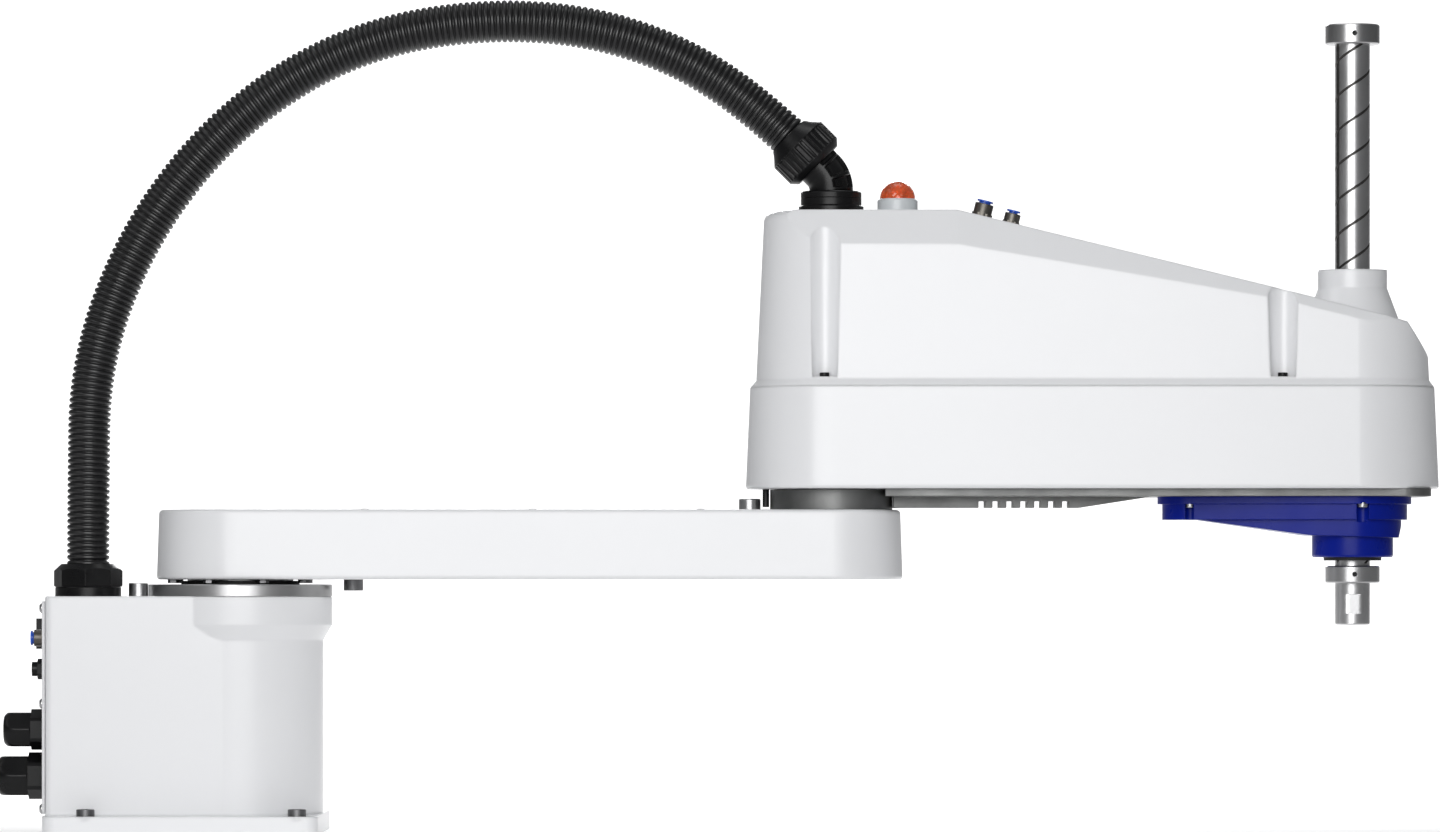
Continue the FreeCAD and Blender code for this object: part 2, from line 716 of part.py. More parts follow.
ARM1_STOP_X = JOINT1_X + 81.3
COVER1_BACK = JOINT1_X + 53
COVER1_FRONT = JOINT1_X + 375
COVER1_R = size("arm1_cover_end_radius", 38)
TROUGH_MARGIN = size("trough_margin", 6)
TROUGH_SHORT = size("trough_shorter_by", 20)
ARM1_COVER_TOP = ARM1_TOP - 0.6
PIN_X = JOINT2_X - 58.6
PIN_R = size("stop_pin_radius", 7.8)
PIN_TOP = size("stop_pin_top", 239.6)
PIN_SHANK_R = size("stop_pin_shank_radius", 4)
HUB_SCREWS = 8
HUB_SCREW_PITCH_R = size("hub_screw_pitch_radius", 50.5)
HUB_SCREW_Z = size("hub_screw_head_height", 2.6)
COVER1_SCREW_R = size("arm1_cover_screw_radius", 1.6)


def arm1_ends(inset, low):
    """Back and front ends of arm 1's outline, at its bottom or its top."""
    draft = ZERO if low else ARM_DRAFT
    return (JOINT1_X, ARM1_R_BACK - draft - inset), (JOINT2_X, ARM1_R_FRONT - draft - inset)


def cover1_outline(z, inset):
    return (
        z,
        (COVER1_BACK + COVER1_R, COVER1_R - inset),
        (COVER1_FRONT - COVER1_R + 4, COVER1_R - 4 - inset),
    )


def arm1_casting():
    solid = stadium([(ARM1_LOW, *arm1_ends(ZERO, True)), (ARM1_TOP, *arm1_ends(ZERO, False))], "Arm1")
    solid = dressed("Fillet", solid, 3, at_height(ARM1_TOP))
    solid = dressed("Fillet", solid, 2.2, at_height(ARM1_LOW))
    recess = stadium([cover1_outline(ARM1_TOP - ARM1_COVER_Z, ZERO), cover1_outline(ARM1_TOP + 1, ZERO)])
    back = (COVER1_BACK + COVER1_R, COVER1_R - TROUGH_MARGIN)
    front = (COVER1_FRONT - COVER1_R - TROUGH_SHORT, COVER1_R - TROUGH_MARGIN - 4)
    trough = stadium([(ARM1_LOW + ARM1_FLOOR, back, front), (ARM1_TOP, back, front)])
    cable_way = cylinder(14, ARM1_TOP - ARM1_LOW - 5, (JOINT1_X, ZERO, ARM1_LOW - 1))
    seat = cylinder(REDUCER2_R - 9, 30, (JOINT2_X, ZERO, ARM1_TOP - 20))
    pin_hole = cylinder(PIN_SHANK_R + RUN_GAP, 30, (PIN_X, ZERO, ARM1_TOP - 12))
    stop_hole = cylinder(STOP_SHANK_R + RUN_GAP, 8, (ARM1_STOP_X, ZERO, ARM1_LOW - 1))
    return cut(solid, recess, trough, cable_way, seat, pin_hole, stop_hole)


def arm1_cover():
    gap = as_size(0.3)
    plate = stadium(
        [
            cover1_outline(ARM1_TOP - ARM1_COVER_Z, gap),
            cover1_outline(ARM1_COVER_TOP, gap),
        ],
        "Arm1Cover",
    )
    holes = [cylinder(COVER1_SCREW_R + RUN_GAP, 12, (x, y, ARM1_TOP - 6)) for x, y in cover1_screw_spots()]
    holes.append(cylinder(PIN_SHANK_R + RUN_GAP, 12, (PIN_X, ZERO, ARM1_TOP - 6)))
    return cut(plate, *holes)


def cover1_screw_spots():
    """Along both long sides of arm 1's cover."""
    inset = COVER1_R - 7.5
    xs = [COVER1_BACK + COVER1_R + step for step in (0, 120, 240)]
    return [(x, inset * side * (1 - 0.013 * i)) for i, x in enumerate(xs) for side in (-1, 1)]


def flat_screw(x, y, z, head_r, shank_r, shank_z, head_z):
    """A low flat-headed screw standing on a horizontal face, with a hexagon socket."""
    head = cylinder(head_r, head_z, (x, y, z))
    head = dressed("Chamfer", head, as_size(head_z).number * 0.4, at_height(as_size(z) + head_z))
    shank = cylinder(shank_r, shank_z, (x, y, as_size(z) - shank_z))
    socket = prism(6, as_size(head_r) * 0.5, 5, (x, y, as_size(z) + as_size(head_z) * 0.35))
    return cut(join(head, shank), socket)


def joint2_reducer():
    """The strain-wave unit of joint 2: its outer ring stands on arm 1, its spigot sits in arm 1's seat."""
    ring = cylinder(REDUCER2_R, REDUCER2_TOP - ARM1_TOP, (JOINT2_X, ZERO, ARM1_TOP))
    spigot = cylinder(REDUCER2_R - 9.05, 19.9, (JOINT2_X, ZERO, ARM1_TOP - 19.9))
    bore = cylinder(HUB2_R, 60, (JOINT2_X, ZERO, ARM1_TOP - 10))
    return cut(join(ring, spigot), bore)


def stop_pin():
    """The round stop pin on arm 1's top."""
    head = cylinder(PIN_R, PIN_TOP - ARM1_COVER_TOP, (PIN_X, ZERO, ARM1_COVER_TOP))
    head = dressed("Fillet", head, 1, at_height(PIN_TOP))
    return join(head, cylinder(PIN_SHANK_R, 10, (PIN_X, ZERO, ARM1_COVER_TOP - 10)))


def hub_screws():
    """The screws that hold arm 1 on the hub, whose heads show between arm 1 and the reducer."""
    screws = []
    for i in range(HUB_SCREWS):
        angle = 2 * math.pi * (i + 0.5) / HUB_SCREWS
        spot = (JOINT1_X + HUB_SCREW_PITCH_R * math.cos(angle), HUB_SCREW_PITCH_R * math.sin(angle))
        screws.append(prism(6, 4.2, HUB_SCREW_Z, (*spot, ARM1_LOW - HUB_SCREW_Z)))
    return group(*screws)


node("arm1_casting", arm1_casting())
node("arm1_top_cover", arm1_cover())
node(
    "arm1_cover_screws",
    group(
        *[
            flat_screw(x, y, ARM1_COVER_TOP, as_size(3), COVER1_SCREW_R, as_size(2.3), as_size(1.3))
            for x, y in cover1_screw_spots()
        ]
    ),
)
node("joint1_hub", joint1_hub())
node("joint1_hub_screws", hub_screws())
node(
    "arm1_stop_bolt",
    cap_screw(STOP_BOLT_R, as_size(8), STOP_SHANK_R, as_size(6), (ARM1_STOP_X, ZERO, ARM1_LOW), "-Z"),
)
node("joint2_stop_pin", stop_pin())
node("joint2_reducer", joint2_reducer())

# ---------------------------------------------------------------- arm 2

PLATE_LOW = size("arm2_plate_bottom", 241)
FIN_LOW = size("fin_bottom", 233)
FIN_HALF = size("fin_half_width", 16)
FIN_PITCH = size("fin_pitch", 10)
FIN_SLOT = size("fin_slot_width", 4.6)
FIN_COUNT = 7
SPINDLE_R = size("spindle_housing_radius", 31)
NUT_R = size("nut_radius", 21)
MOTOR3_X = JOINT3_X - 150
MOTOR4_X = JOINT3_X - 92
PULLEY3_R = size("motor3_pulley_radius", 12.7)
PULLEY4_R = size("motor4_pulley_radius", 12.7)
NUT_PULLEY_R = size("nut_pulley_radius", 25.4)
BELT_THICK = size("belt_thickness", 1.6)
BELT_CLEAR = size("belt_clearance", 0.3)
BELT3_Z = size("belt3_bottom", 326)
BELT4_Z = size("belt4_bottom", 228.5)
BELT_WIDTH = size("belt_width", 10)
PULLEY_RIM = size("pulley_flange_thickness", 1.2)
TOOTH_DEPTH = size("tooth_depth", 0.9)
SMALL_TEETH = 16
LARGE_TEETH = 32
ENCODER_Z = size("encoder_height", 8)
MOTOR_SHAFT_R = size("motor_shaft_radius", 5.95)
# half-width, bottom and top of each motor's body, and how far its shaft reaches
MOTOR_PARTS = ("motor%d_half_width", "motor%d_bottom", "motor%d_top", "motor%d_shaft_end")
MOTOR3_SIZE = [size(part % 3, value) for part, value in zip(MOTOR_PARTS, (28, 262.4, 316, 338))]
MOTOR4_SIZE = [size(part % 4, value) for part, value in zip(MOTOR_PARTS, (22, 254.4, 312, 228))]

POCKETS = [
    (JOINT2_X - 5.5, size("back_pocket_low_radius", 8.9), size("back_pocket_high_radius", 13.6), 96),
    (JOINT3_X - SLOPE_END, size("front_pocket_low_radius", 8.9), size("front_pocket_high_radius", 11.4), 55),
]
POCKET_Y = size("pocket_axis_y", 54)
POCKET_FLOOR = size("pocket_floor", 326)
POCKET_SCREW_Y = size("pocket_screw_y", 49)
POCKET_SPOTS = [(x, POCKET_Y * side, *flare) for x, *flare in POCKETS for side in (-1, 1)]
POCKET_SCREWS = [(x, POCKET_SCREW_Y * side) for x, *_ in POCKETS for side in (-1, 1)]


LAMP_X = JOINT2_X + 47.7
SLOPE_RUN = ARM2_LENGTH - SLOPE_END - COVER_BREAK
SLOPE_ANGLE = math.degrees(math.atan((COVER_TOP - SLOPE_END_Z).number / SLOPE_RUN.number))
SLOPE_TURN = Rotation(Vector(0, 1, 0), SLOPE_ANGLE)


def slope_z(distance):
    """Height of the sloping roof at a distance in front of joint 2."""
    return COVER_TOP - (as_size(distance) - COVER_BREAK) * math.tan(math.radians(SLOPE_ANGLE))


LARGE_PORT = (JOINT2_X + 107.9, ZERO, slope_z(107.9))
SMALL_PORT = (JOINT2_X + 128.8, ZERO, slope_z(128.8))
LARGE_TAIL_R = size("large_port_tail_radius", 4.85)
SMALL_TAIL_R = size("small_port_tail_radius", 3.9)
ROOF_SHANK_R = size("roof_screw_shank_radius", 2)
ROOF_SCREWS = [((JOINT2_X + 67, ZERO, COVER_TOP), "+Z")]
ROOF_SCREWS += [((JOINT2_X + d, ZERO, slope_z(d)), SLOPE_TURN) for d in (161.7, 191.7)]


def arm2_casting():
    ends = [
        (ARM2_LOW, (JOINT2_X, BAND_R_BACK), (JOINT3_X, BAND_R_FRONT)),
        (BAND_TOP, (JOINT2_X, BAND_R_BACK - BAND_DRAFT), (JOINT3_X, BAND_R_FRONT - BAND_DRAFT)),
    ]
    solid = stadium(ends, "Arm2")
    solid = dressed("Fillet", solid, 2, at_height(ARM2_LOW))
    inner = stadium(
        [
            (ARM2_LOW + BAND_FLOOR, (JOINT2_X, BAND_R_BACK - 9), (JOINT3_X, BAND_R_FRONT - 9)),
            (BAND_TOP + 1, (JOINT2_X, BAND_R_BACK - 9), (JOINT3_X, BAND_R_FRONT - 9)),
        ]
    )
    hub_seat = cylinder(HUB2_R + 6, 20, (JOINT2_X, ZERO, ARM2_LOW - 1))
    spindle_hole = cylinder(NUT_R + 0.5, 20, (JOINT3_X, ZERO, ARM2_LOW - 1))
    motor4_hole = cylinder(PULLEY4_R + 2, 20, (MOTOR4_X, ZERO, ARM2_LOW - 1))
    return cut(solid, inner, hub_seat, spindle_hole, motor4_hole)


def arm2_plate():
    """The grey machined pad under arm 2, with the cooling ribs."""
    plate = box(
        (JOINT2_X + 38, as_size(-50), PLATE_LOW),
        (JOINT3_X + 53.6, as_size(50), ARM2_LOW),
    )
    plate = dressed("Fillet", plate, 20, lambda e: upright(e) and e.BoundBox.XMin > 700)
    start = JOINT2_X + 44.4
    points = [
        (start, FIN_LOW),
        (JOINT2_X + 178, FIN_LOW),
        (JOINT2_X + 229.5, PLATE_LOW),
        (start, PLATE_LOW),
    ]
    rib = padded("XZ_Plane", points, FIN_HALF * 2, midplane=True, name="Rib")
    tools = [cylinder(REDUCER2_R + 1, 40, (JOINT2_X, ZERO, FIN_LOW - 5))]
    for i in range(FIN_COUNT):
        left = JOINT2_X + 105.5 + FIN_PITCH * i
        low = (left, as_size(-60), FIN_LOW - 1)
        tools.append(box(low, (left + FIN_SLOT, as_size(60), as_size(237.8))))
    tools.append(cylinder(NUT_R + 0.5, 20, (JOINT3_X, ZERO, PLATE_LOW - 5)))
    tools.append(cylinder(PULLEY4_R + 2, 20, (MOTOR4_X, ZERO, PLATE_LOW - 5)))
    return cut(join(plate, rib), *tools)


def cover_solid(inset, bottom):
    """The upper cover's outer shape, or with an inset the space inside it."""
    levels = []
    for z, narrower in ((bottom, inset), (COVER_TOP + 2, COVER_DRAFT + inset)):
        levels.append((z, (JOINT2_X, COVER_R_BACK - narrower), (JOINT3_X, COVER_R_FRONT - narrower)))
    plan = stadium(levels, "CoverPlan")
    body = new_body("CoverRoof")
    # each station: x, lower edge of the side bevel at ROOF_SIDE_Y, half-width and height of the roof
    stations = [
        (JOINT2_X - 70, 398.6, 33, COVER_TOP),
        (JOINT2_X + COVER_BREAK, 398.6, 33, COVER_TOP),
        (JOINT3_X - SLOPE_END, 366, 46, SLOPE_END_Z),
        (JOINT3_X + 36, 345, 48, 365.8),
        (JOINT3_X + 70, 306, 40, 318),
    ]
    sketches = []
    for x, low_z, top_half, top_z in stations:
        low = as_size(low_z) - inset
        top = as_size(top_z) - inset
        half = as_size(top_half)
        points = [
            (-ROOF_SIDE_Y, ROOF_SIDE_LOW),
            (ROOF_SIDE_Y, ROOF_SIDE_LOW),
            (ROOF_SIDE_Y, low),
            (half, top),
            (-half, top),
            (-ROOF_SIDE_Y, low),
        ]
        sketches.append(outline(body, "YZ_Plane", points, x))
    lofted(sketches, body)
    whole = common(plan, body)
    if inset is not ZERO:
        return whole
    return dressed("Fillet", whole, COVER_CORNER, rear_roof_edge)


def rear_roof_edge(edge):
    box_of = edge.BoundBox
    flat = abs(box_of.ZMin - COVER_TOP.number) < 0.01 and box_of.ZLength < 0.01
    return flat and box_of.XMax < JOINT2_X.number - 25


def pocket_cone(x, y, low, high, rise, grow):
    """The flared half-round recess that a cover screw sits in."""
    return cone(low + grow, high + grow, as_size(rise * 1.35), (x, y, POCKET_FLOOR - grow))


def arm2_cover():
    outer = cover_solid(ZERO, LEDGE_TOP - 0.5)
    ledge = stadium(
        [
            (BAND_TOP, (JOINT2_X, BAND_R_BACK - BAND_DRAFT), (JOINT3_X, BAND_R_FRONT - BAND_DRAFT)),
            (LEDGE_TOP, (JOINT2_X, COVER_R_BACK), (JOINT3_X, COVER_R_FRONT)),
        ]
    )
    collar_low = as_size(360)
    collar = cylinder(COLLAR_R, COLLAR_TOP - collar_low, (JOINT3_X, ZERO, collar_low))
    skirt = cone(COLLAR_R + 15, COLLAR_R, SKIRT_Z, (JOINT3_X, ZERO, COLLAR_TOP - 13 - SKIRT_Z))
    inner = cover_solid(WALL, BAND_TOP - 1)
    pockets = [pocket_cone(*spot, 0) for spot in POCKET_SPOTS]
    walls = [pocket_cone(*spot, WALL) for spot in POCKET_SPOTS]
    shell = cut(join(outer, ledge, collar, skirt), cut(inner, *walls), *pockets)
    collar_bore = cylinder(STOP_R + 1.7, 60, (JOINT3_X, ZERO, COLLAR_TOP - 50))
    holes = [cylinder(1.95, 20, (x, y, POCKET_FLOOR - 12)) for x, y in POCKET_SCREWS]
    for at, way in ROOF_SCREWS:
        holes.append(cylinder(ROOF_SHANK_R + RUN_GAP, 20, along(at, way, -10), way))
    for at, tail_r in ((LARGE_PORT, LARGE_TAIL_R), (SMALL_PORT, SMALL_TAIL_R)):
        holes.append(cylinder(tail_r + RUN_GAP, 20, along(at, SLOPE_TURN, -10), SLOPE_TURN))
    holes.append(cylinder(11, 20, (JOINT2_X, ZERO, COVER_TOP - 10)))
    return cut(shell, collar_bore, *holes)


def hub2():
    """The reducer's output, bolted up into arm 2's floor."""
    low = ARM1_TOP - 8
    plug = cylinder(HUB2_R - RUN_GAP, ARM2_LOW + BAND_FLOOR - low, (JOINT2_X, ZERO, low))
    collar = cylinder(HUB2_R + 6, BAND_FLOOR, (JOINT2_X, ZERO, ARM2_LOW))
    return cut(join(plug, collar), cylinder(9, 60, (JOINT2_X, ZERO, low - 1)))


def square_motor(x, half, low, high, shaft_end):
    """A servo motor with a round pilot, an encoder cap and its output shaft, up or down."""
    body = box((x - half, -half, low), (x + half, half, high))
    body = dressed("Fillet", body, 4, upright)
    upward = shaft_end.number > high.number
    start = high if upward else shaft_end
    end = shaft_end if upward else low
    shaft = cylinder(MOTOR_SHAFT_R, end - start, (x, ZERO, start))
    cap = cylinder(half * 0.8, ENCODER_Z, (x, ZERO, low - ENCODER_Z if upward else high))
    return join(body, shaft, cap)


def joint2_motor():
    floor = ARM2_LOW + BAND_FLOOR
    flange = cylinder(38, 8, (JOINT2_X, ZERO, floor))
    half = size("motor2_half", 28)
    body = box((JOINT2_X - half, -half, floor + 8), (JOINT2_X + half, half, floor + 88))
    body = dressed("Fillet", body, 4, upright)
    cap = cylinder(22, 10, (JOINT2_X, ZERO, floor + 88))
    return join(flange, body, cap)


def toothed(x, pitch_r, low, bore_r, teeth):
    """A timing pulley: toothed rim between two flanges, bored for its shaft."""
    width = BELT_WIDTH
    rim_r = pitch_r - TOOTH_DEPTH
    rim = cylinder(rim_r, width, (x, ZERO, low))
    notches = []
    for i in range(teeth):
        angle = 2 * math.pi * i / teeth
        at = (x + rim_r * math.cos(angle), rim_r * math.sin(angle), low)
        notches.append(cylinder(0.75, width, at))
    rim = cut(rim, *notches)
    plates = [
        cylinder(pitch_r + 1.6, PULLEY_RIM, (x, ZERO, low - PULLEY_RIM)),
        cylinder(pitch_r + 1.6, PULLEY_RIM, (x, ZERO, low + width)),
    ]
    bore = cylinder(bore_r, width + 10, (x, ZERO, low - 5))
    return cut(join(rim, *plates), bore)


def belt(x, small_r, low):
    """A closed timing belt round a motor pulley and a nut pulley."""

    def loop(grow, start, end):
        ends = (x, small_r + grow), (JOINT3_X, NUT_PULLEY_R + grow)
        return stadium([(start, *ends), (end, *ends)], "Belt")

    outer = loop(BELT_CLEAR + BELT_THICK, low + 0.5, low + BELT_WIDTH - 0.5)
    return cut(outer, loop(BELT_CLEAR, low - 1, low + BELT_WIDTH + 1))


def spindle_housing():
    """The bearing housing on arm 2's floor that carries both nuts."""
    floor = ARM2_LOW + BAND_FLOOR
    tube = cylinder(SPINDLE_R, as_size(322) - floor, (JOINT3_X, ZERO, floor))
    foot = cylinder(SPINDLE_R + 9, 8, (JOINT3_X, ZERO, floor))
    return cut(join(tube, foot), cylinder(NUT_R, 120, (JOINT3_X, ZERO, floor - 10)))


def nut(low, high):
    """A ground nut on the shaft, running in the housing."""
    sleeve = cylinder(NUT_R - RUN_GAP, high - low, (JOINT3_X, ZERO, low))
    return cut(sleeve, cylinder(SHAFT_R + RUN_GAP, 200, (JOINT3_X, ZERO, low - 20)))


def spindle_brake():
    """The ring-shaped holding brake over the ball nut."""
    low = BELT3_Z + BELT_WIDTH + 5
    ring = cylinder(27, 14, (JOINT3_X, ZERO, low))
    foot = box((JOINT3_X - 29, as_size(24), low), (JOINT3_X + 29, as_size(40), low + 4))
    leg = box((JOINT3_X - 8, as_size(34), as_size(262.4)), (JOINT3_X + 8, as_size(40), low))
    return cut(join(ring, foot, leg), cylinder(SHAFT_R + 1, 60, (JOINT3_X, ZERO, low - 5)))


BLUE_TOP = PLATE_LOW
BLUE_FLANGE_LOW = size("belt_cover_flange_bottom", 235.6)
BLUE_MID_LOW = size("belt_cover_mid_bottom", 224.4)
BLUE_BOSS_R = size("belt_cover_boss_radius", 29.1)
BLUE_WALL = size("belt_cover_wall", 2.5)
BLUE_BOSS_LOW = size("belt_cover_boss_bottom", 197.5)


def belt_cover_solid(inset):
    """The three-tiered cover under joint 3; an inset gives the room inside it."""
    tiers = [
        (BLUE_FLANGE_LOW, BLUE_TOP, 140.3, 42.2, 42.2, 24),
        (BLUE_MID_LOW, BLUE_FLANGE_LOW + 1, 136.9, 39.2, 39.2, 22),
    ]
    solids = []
    for low, high, back, front, front_r, back_r in tiers:
        ends = (JOINT3_X - back + back_r, as_size(back_r) - inset), (JOINT3_X, as_size(front_r) - inset)
        solids.append(stadium([(low + inset, *ends), (high + inset, *ends)], "Tier"))
    # the lowest tier slopes down towards the shaft
    wedge = padded(
        "XZ_Plane",
        [
            (JOINT3_X - 119.7 + inset, BLUE_MID_LOW + 1 + inset),
            (JOINT3_X - 33.8, as_size(213.3) + inset),
            (JOINT3_X + 32, as_size(211.5) + inset),
            (JOINT3_X + 36 - inset, BLUE_MID_LOW + 1 + inset),
        ],
        as_size(100),
        midplane=True,
        name="Wedge",
    )
    ends = (JOINT3_X - 101, as_size(17) - inset), (JOINT3_X, as_size(35) - inset)
    low_plan = stadium([(BLUE_BOSS_LOW + 7.5, *ends), (BLUE_FLANGE_LOW - 3.6, *ends)], "LowPlan")
    solids.append(common(wedge, low_plan))
    return join(*solids)


BLUE_SCREW_R = size("belt_cover_screw_hole_radius", 2.05)
PILLAR_R = size("belt_cover_pillar_radius", 6.6)
BLUE_SCREWS = [
    (JOINT3_X - 118, size("belt_cover_screw_back_y", 18)),
    (JOINT3_X + 4, size("belt_cover_screw_front_y", 37.5)),
]
BLUE_SCREW_SPOTS = [(x, y * side) for x, y in BLUE_SCREWS for side in (-1, 1)]


def belt_cover():
    boss = cylinder(BLUE_BOSS_R, as_size(214) - BLUE_BOSS_LOW, (JOINT3_X, ZERO, BLUE_BOSS_LOW))
    boss = dressed("Fillet", boss, 1.5, at_height(BLUE_BOSS_LOW))
    outer = join(belt_cover_solid(ZERO), boss)
    pillars = [cylinder(PILLAR_R, 20, (x, y, BLUE_FLANGE_LOW - 14)) for x, y in BLUE_SCREW_SPOTS]
    inner = cut(belt_cover_solid(BLUE_WALL), *pillars)
    top_slot = cylinder(NUT_R + 6.5, 30, (JOINT3_X, ZERO, BLUE_TOP - 25))
    well = cylinder(NUT_R + 1.5, 20, (JOINT3_X, ZERO, BLUE_BOSS_LOW + 4))
    bore = cylinder(SHAFT_R + 3.2, 30, (JOINT3_X, ZERO, BLUE_BOSS_LOW - 2))
    holes = [cylinder(BLUE_SCREW_R, 12, (x, y, BLUE_FLANGE_LOW - 2)) for x, y in BLUE_SCREW_SPOTS]
    recesses = [cylinder(4.6, 14, (x, y, BLUE_FLANGE_LOW - 13)) for x, y in BLUE_SCREW_SPOTS]
    return cut(outer, inner, top_slot, well, bore, *holes, *recesses)


def belt_cover_screws():
    screws = []
    for x, y in BLUE_SCREW_SPOTS:
        seat = BLUE_FLANGE_LOW + 1
        screws.append(
            cap_screw(as_size(3.6), as_size(3.6), BLUE_SCREW_R - 0.05, as_size(4.3), (x, y, seat), "-Z")
        )
    return group(*screws)


def shaft_seal():
    """The wiper ring where the shaft leaves the belt cover."""
    ring = cylinder(20.7, 2.3, (JOINT3_X, ZERO, BLUE_BOSS_LOW - 2.3))
    spigot = cylinder(SHAFT_R + 3.15, 6, (JOINT3_X, ZERO, BLUE_BOSS_LOW - 0.5))
    return cut(join(ring, spigot), cylinder(SHAFT_R + 0.35, 20, (JOINT3_X, ZERO, BLUE_BOSS_LOW - 5)))


def arm2_stop_post():
    """A short grey post under arm 2, beside the reducer."""
    return cylinder(2.4, ARM2_LOW - 233.6, (JOINT2_X - 47, ZERO, as_size(233.6)))


node("arm2_casting", arm2_casting())
node("arm2_bottom_plate", arm2_plate())
node("arm2_cover", arm2_cover())
node("joint2_hub", hub2())
node("arm2_index_post", arm2_stop_post())
node("joint2_motor", joint2_motor())
node("joint3_motor", square_motor(MOTOR3_X, *MOTOR3_SIZE))
node("joint4_motor", square_motor(MOTOR4_X, *MOTOR4_SIZE))
node("joint3_motor_pulley", toothed(MOTOR3_X, PULLEY3_R, BELT3_Z, MOTOR_SHAFT_R + RUN_GAP, SMALL_TEETH))
node("joint4_motor_pulley", toothed(MOTOR4_X, PULLEY4_R, BELT4_Z, MOTOR_SHAFT_R + RUN_GAP, SMALL_TEETH))
node("joint3_belt", belt(MOTOR3_X, PULLEY3_R, BELT3_Z))
node("joint4_belt", belt(MOTOR4_X, PULLEY4_R, BELT4_Z))
node("spindle_housing", spindle_housing())
node("ball_screw_nut", nut(as_size(292), BELT3_Z + BELT_WIDTH + 2))
node("ball_nut_pulley", toothed(JOINT3_X, NUT_PULLEY_R, BELT3_Z, NUT_R - RUN_GAP, LARGE_TEETH))
node("spline_nut", nut(as_size(219), as_size(270)))
node("spline_nut_pulley", toothed(JOINT3_X, NUT_PULLEY_R, BELT4_Z, NUT_R - RUN_GAP, LARGE_TEETH))
node("joint3_brake", spindle_brake())
node("belt_cover", belt_cover())
node("belt_cover_screws", belt_cover_screws())
node("shaft_seal_ring", shaft_seal())

# ---------------------------------------------------------------- shaft

SET_SCREW_R = size("set_screw_radius", 1.8)
RELIEF_LOW = size("shaft_relief_bottom", 177.5)


def shaft():
    """The hollow ball-screw spline shaft, with a relief groove under the lower collar."""
    length = SHAFT_TOP - SHAFT_LOW - 2
    rod = cylinder(SHAFT_R, length, (JOINT3_X, ZERO, SHAFT_LOW))
    rod = dressed("Chamfer", rod, 0.8, at_height(SHAFT_LOW))
    bore = cylinder(SHAFT_BORE_R, length + 2, (JOINT3_X, ZERO, SHAFT_LOW - 1))
    relief = cut(
        cylinder(SHAFT_R + 1, 1, (JOINT3_X, ZERO, RELIEF_LOW)),
        cylinder(SHAFT_R - 0.3, 3, (JOINT3_X, ZERO, RELIEF_LOW - 1)),
    )
    return cut(rod, bore, relief)


def stop_collar(low, high):
    """A clamp ring on the shaft with a set-screw hole through its front."""
    ring = cylinder(STOP_R, high - low, (JOINT3_X, ZERO, low))
    ring = dressed("Chamfer", ring, 0.8, lambda e: e.Closed)
    bore = cylinder(SHAFT_R, 40, (JOINT3_X, ZERO, low - 1))
    middle = low + (high - low) * 0.5
    hole = cylinder(SET_SCREW_R, 12, (JOINT3_X, -STOP_R - 1, middle), "+Y")
    return cut(ring, bore, hole)


UPPER_COLLAR = (size("upper_collar_bottom", 566.2), SHAFT_TOP)
LOWER_COLLAR = (size("lower_collar_bottom", 179.1), size("lower_collar_top", 191.3))


def set_screws():
    screws = []
    for low, high in (UPPER_COLLAR, LOWER_COLLAR):
        middle = low + (high - low) * 0.5
        body = cylinder(SET_SCREW_R - 0.05, 4.8, (JOINT3_X, -SHAFT_R - 4.8, middle), "+Y")
        key = prism(6, 1, 2, (JOINT3_X, -SHAFT_R - 5, middle), "+Y")
        screws.append(cut(body, key))
    return group(*screws)


node("shaft", shaft())
node("upper_stop_collar", stop_collar(*UPPER_COLLAR))
node("lower_stop_collar", stop_collar(*LOWER_COLLAR))
node("collar_set_screws", set_screws())

# ---------------------------------------------------------------- top of arm 2

LAMP_R = size("lamp_base_radius", 14.5)
LAMP_Z = size("lamp_base_height", 9.3)
LENS_R = size("lamp_lens_radius", 12.8)
LAMP_WELL_R = size("lamp_well_radius", 9)
LAMP_FLOOR = size("lamp_floor", 3)
SPIGOT_R = size("elbow_spigot_radius", 12)
ELBOW_COLLAR_R = size("elbow_collar_radius", 21.8)
ELBOW_RING_Z = size("elbow_ring_height", 9.5)


def lamp_base():
    return turned(
        [
            (ZERO, ZERO),
            (LAMP_R, ZERO),
            (LAMP_R, LAMP_Z - 1.3),
            (LAMP_R - 1.3, LAMP_Z),
            (LAMP_WELL_R, LAMP_Z),
            (LAMP_WELL_R, LAMP_FLOOR),
            (ZERO, LAMP_FLOOR),
        ],
        LAMP_X,
        ZERO,
        COVER_TOP,
    )


def lamp_lens():
    """The domed lamp cover, hollow over the light."""
    low = COVER_TOP + LAMP_Z
    dome = sphere(LENS_R, (LAMP_X, ZERO, low))
    keep = cylinder(LENS_R + 1, LENS_R + 1, (LAMP_X, ZERO, low))
    inside = sphere(LENS_R - 1.8, (LAMP_X, ZERO, low))
    return cut(common(dome, keep), inside)


def elbow_ring():
    """The fixed ring on the cover that the elbow swivels in."""
    return turned(
        [
            (SPIGOT_R, ZERO),
            (ELBOW_COLLAR_R + 1.5, ZERO),
            (ELBOW_COLLAR_R + 1.5, ELBOW_RING_Z - 6),
            (ELBOW_COLLAR_R, ELBOW_RING_Z - 5),
            (ELBOW_COLLAR_R, ELBOW_RING_Z),
            (SPIGOT_R, ELBOW_RING_Z),
        ],
        JOINT2_X,
        ZERO,
        COVER_TOP,
    )


ELBOW_TURN = size("elbow_turn_degrees", 45)
ELBOW_LOW = COVER_TOP + ELBOW_RING_Z + 0.3
ELBOW_R = size("elbow_tube_radius", 15.7)
ELBOW_BEND = size("elbow_bend_radius", 20)
ELBOW_NECK = size("elbow_neck_height", 6)


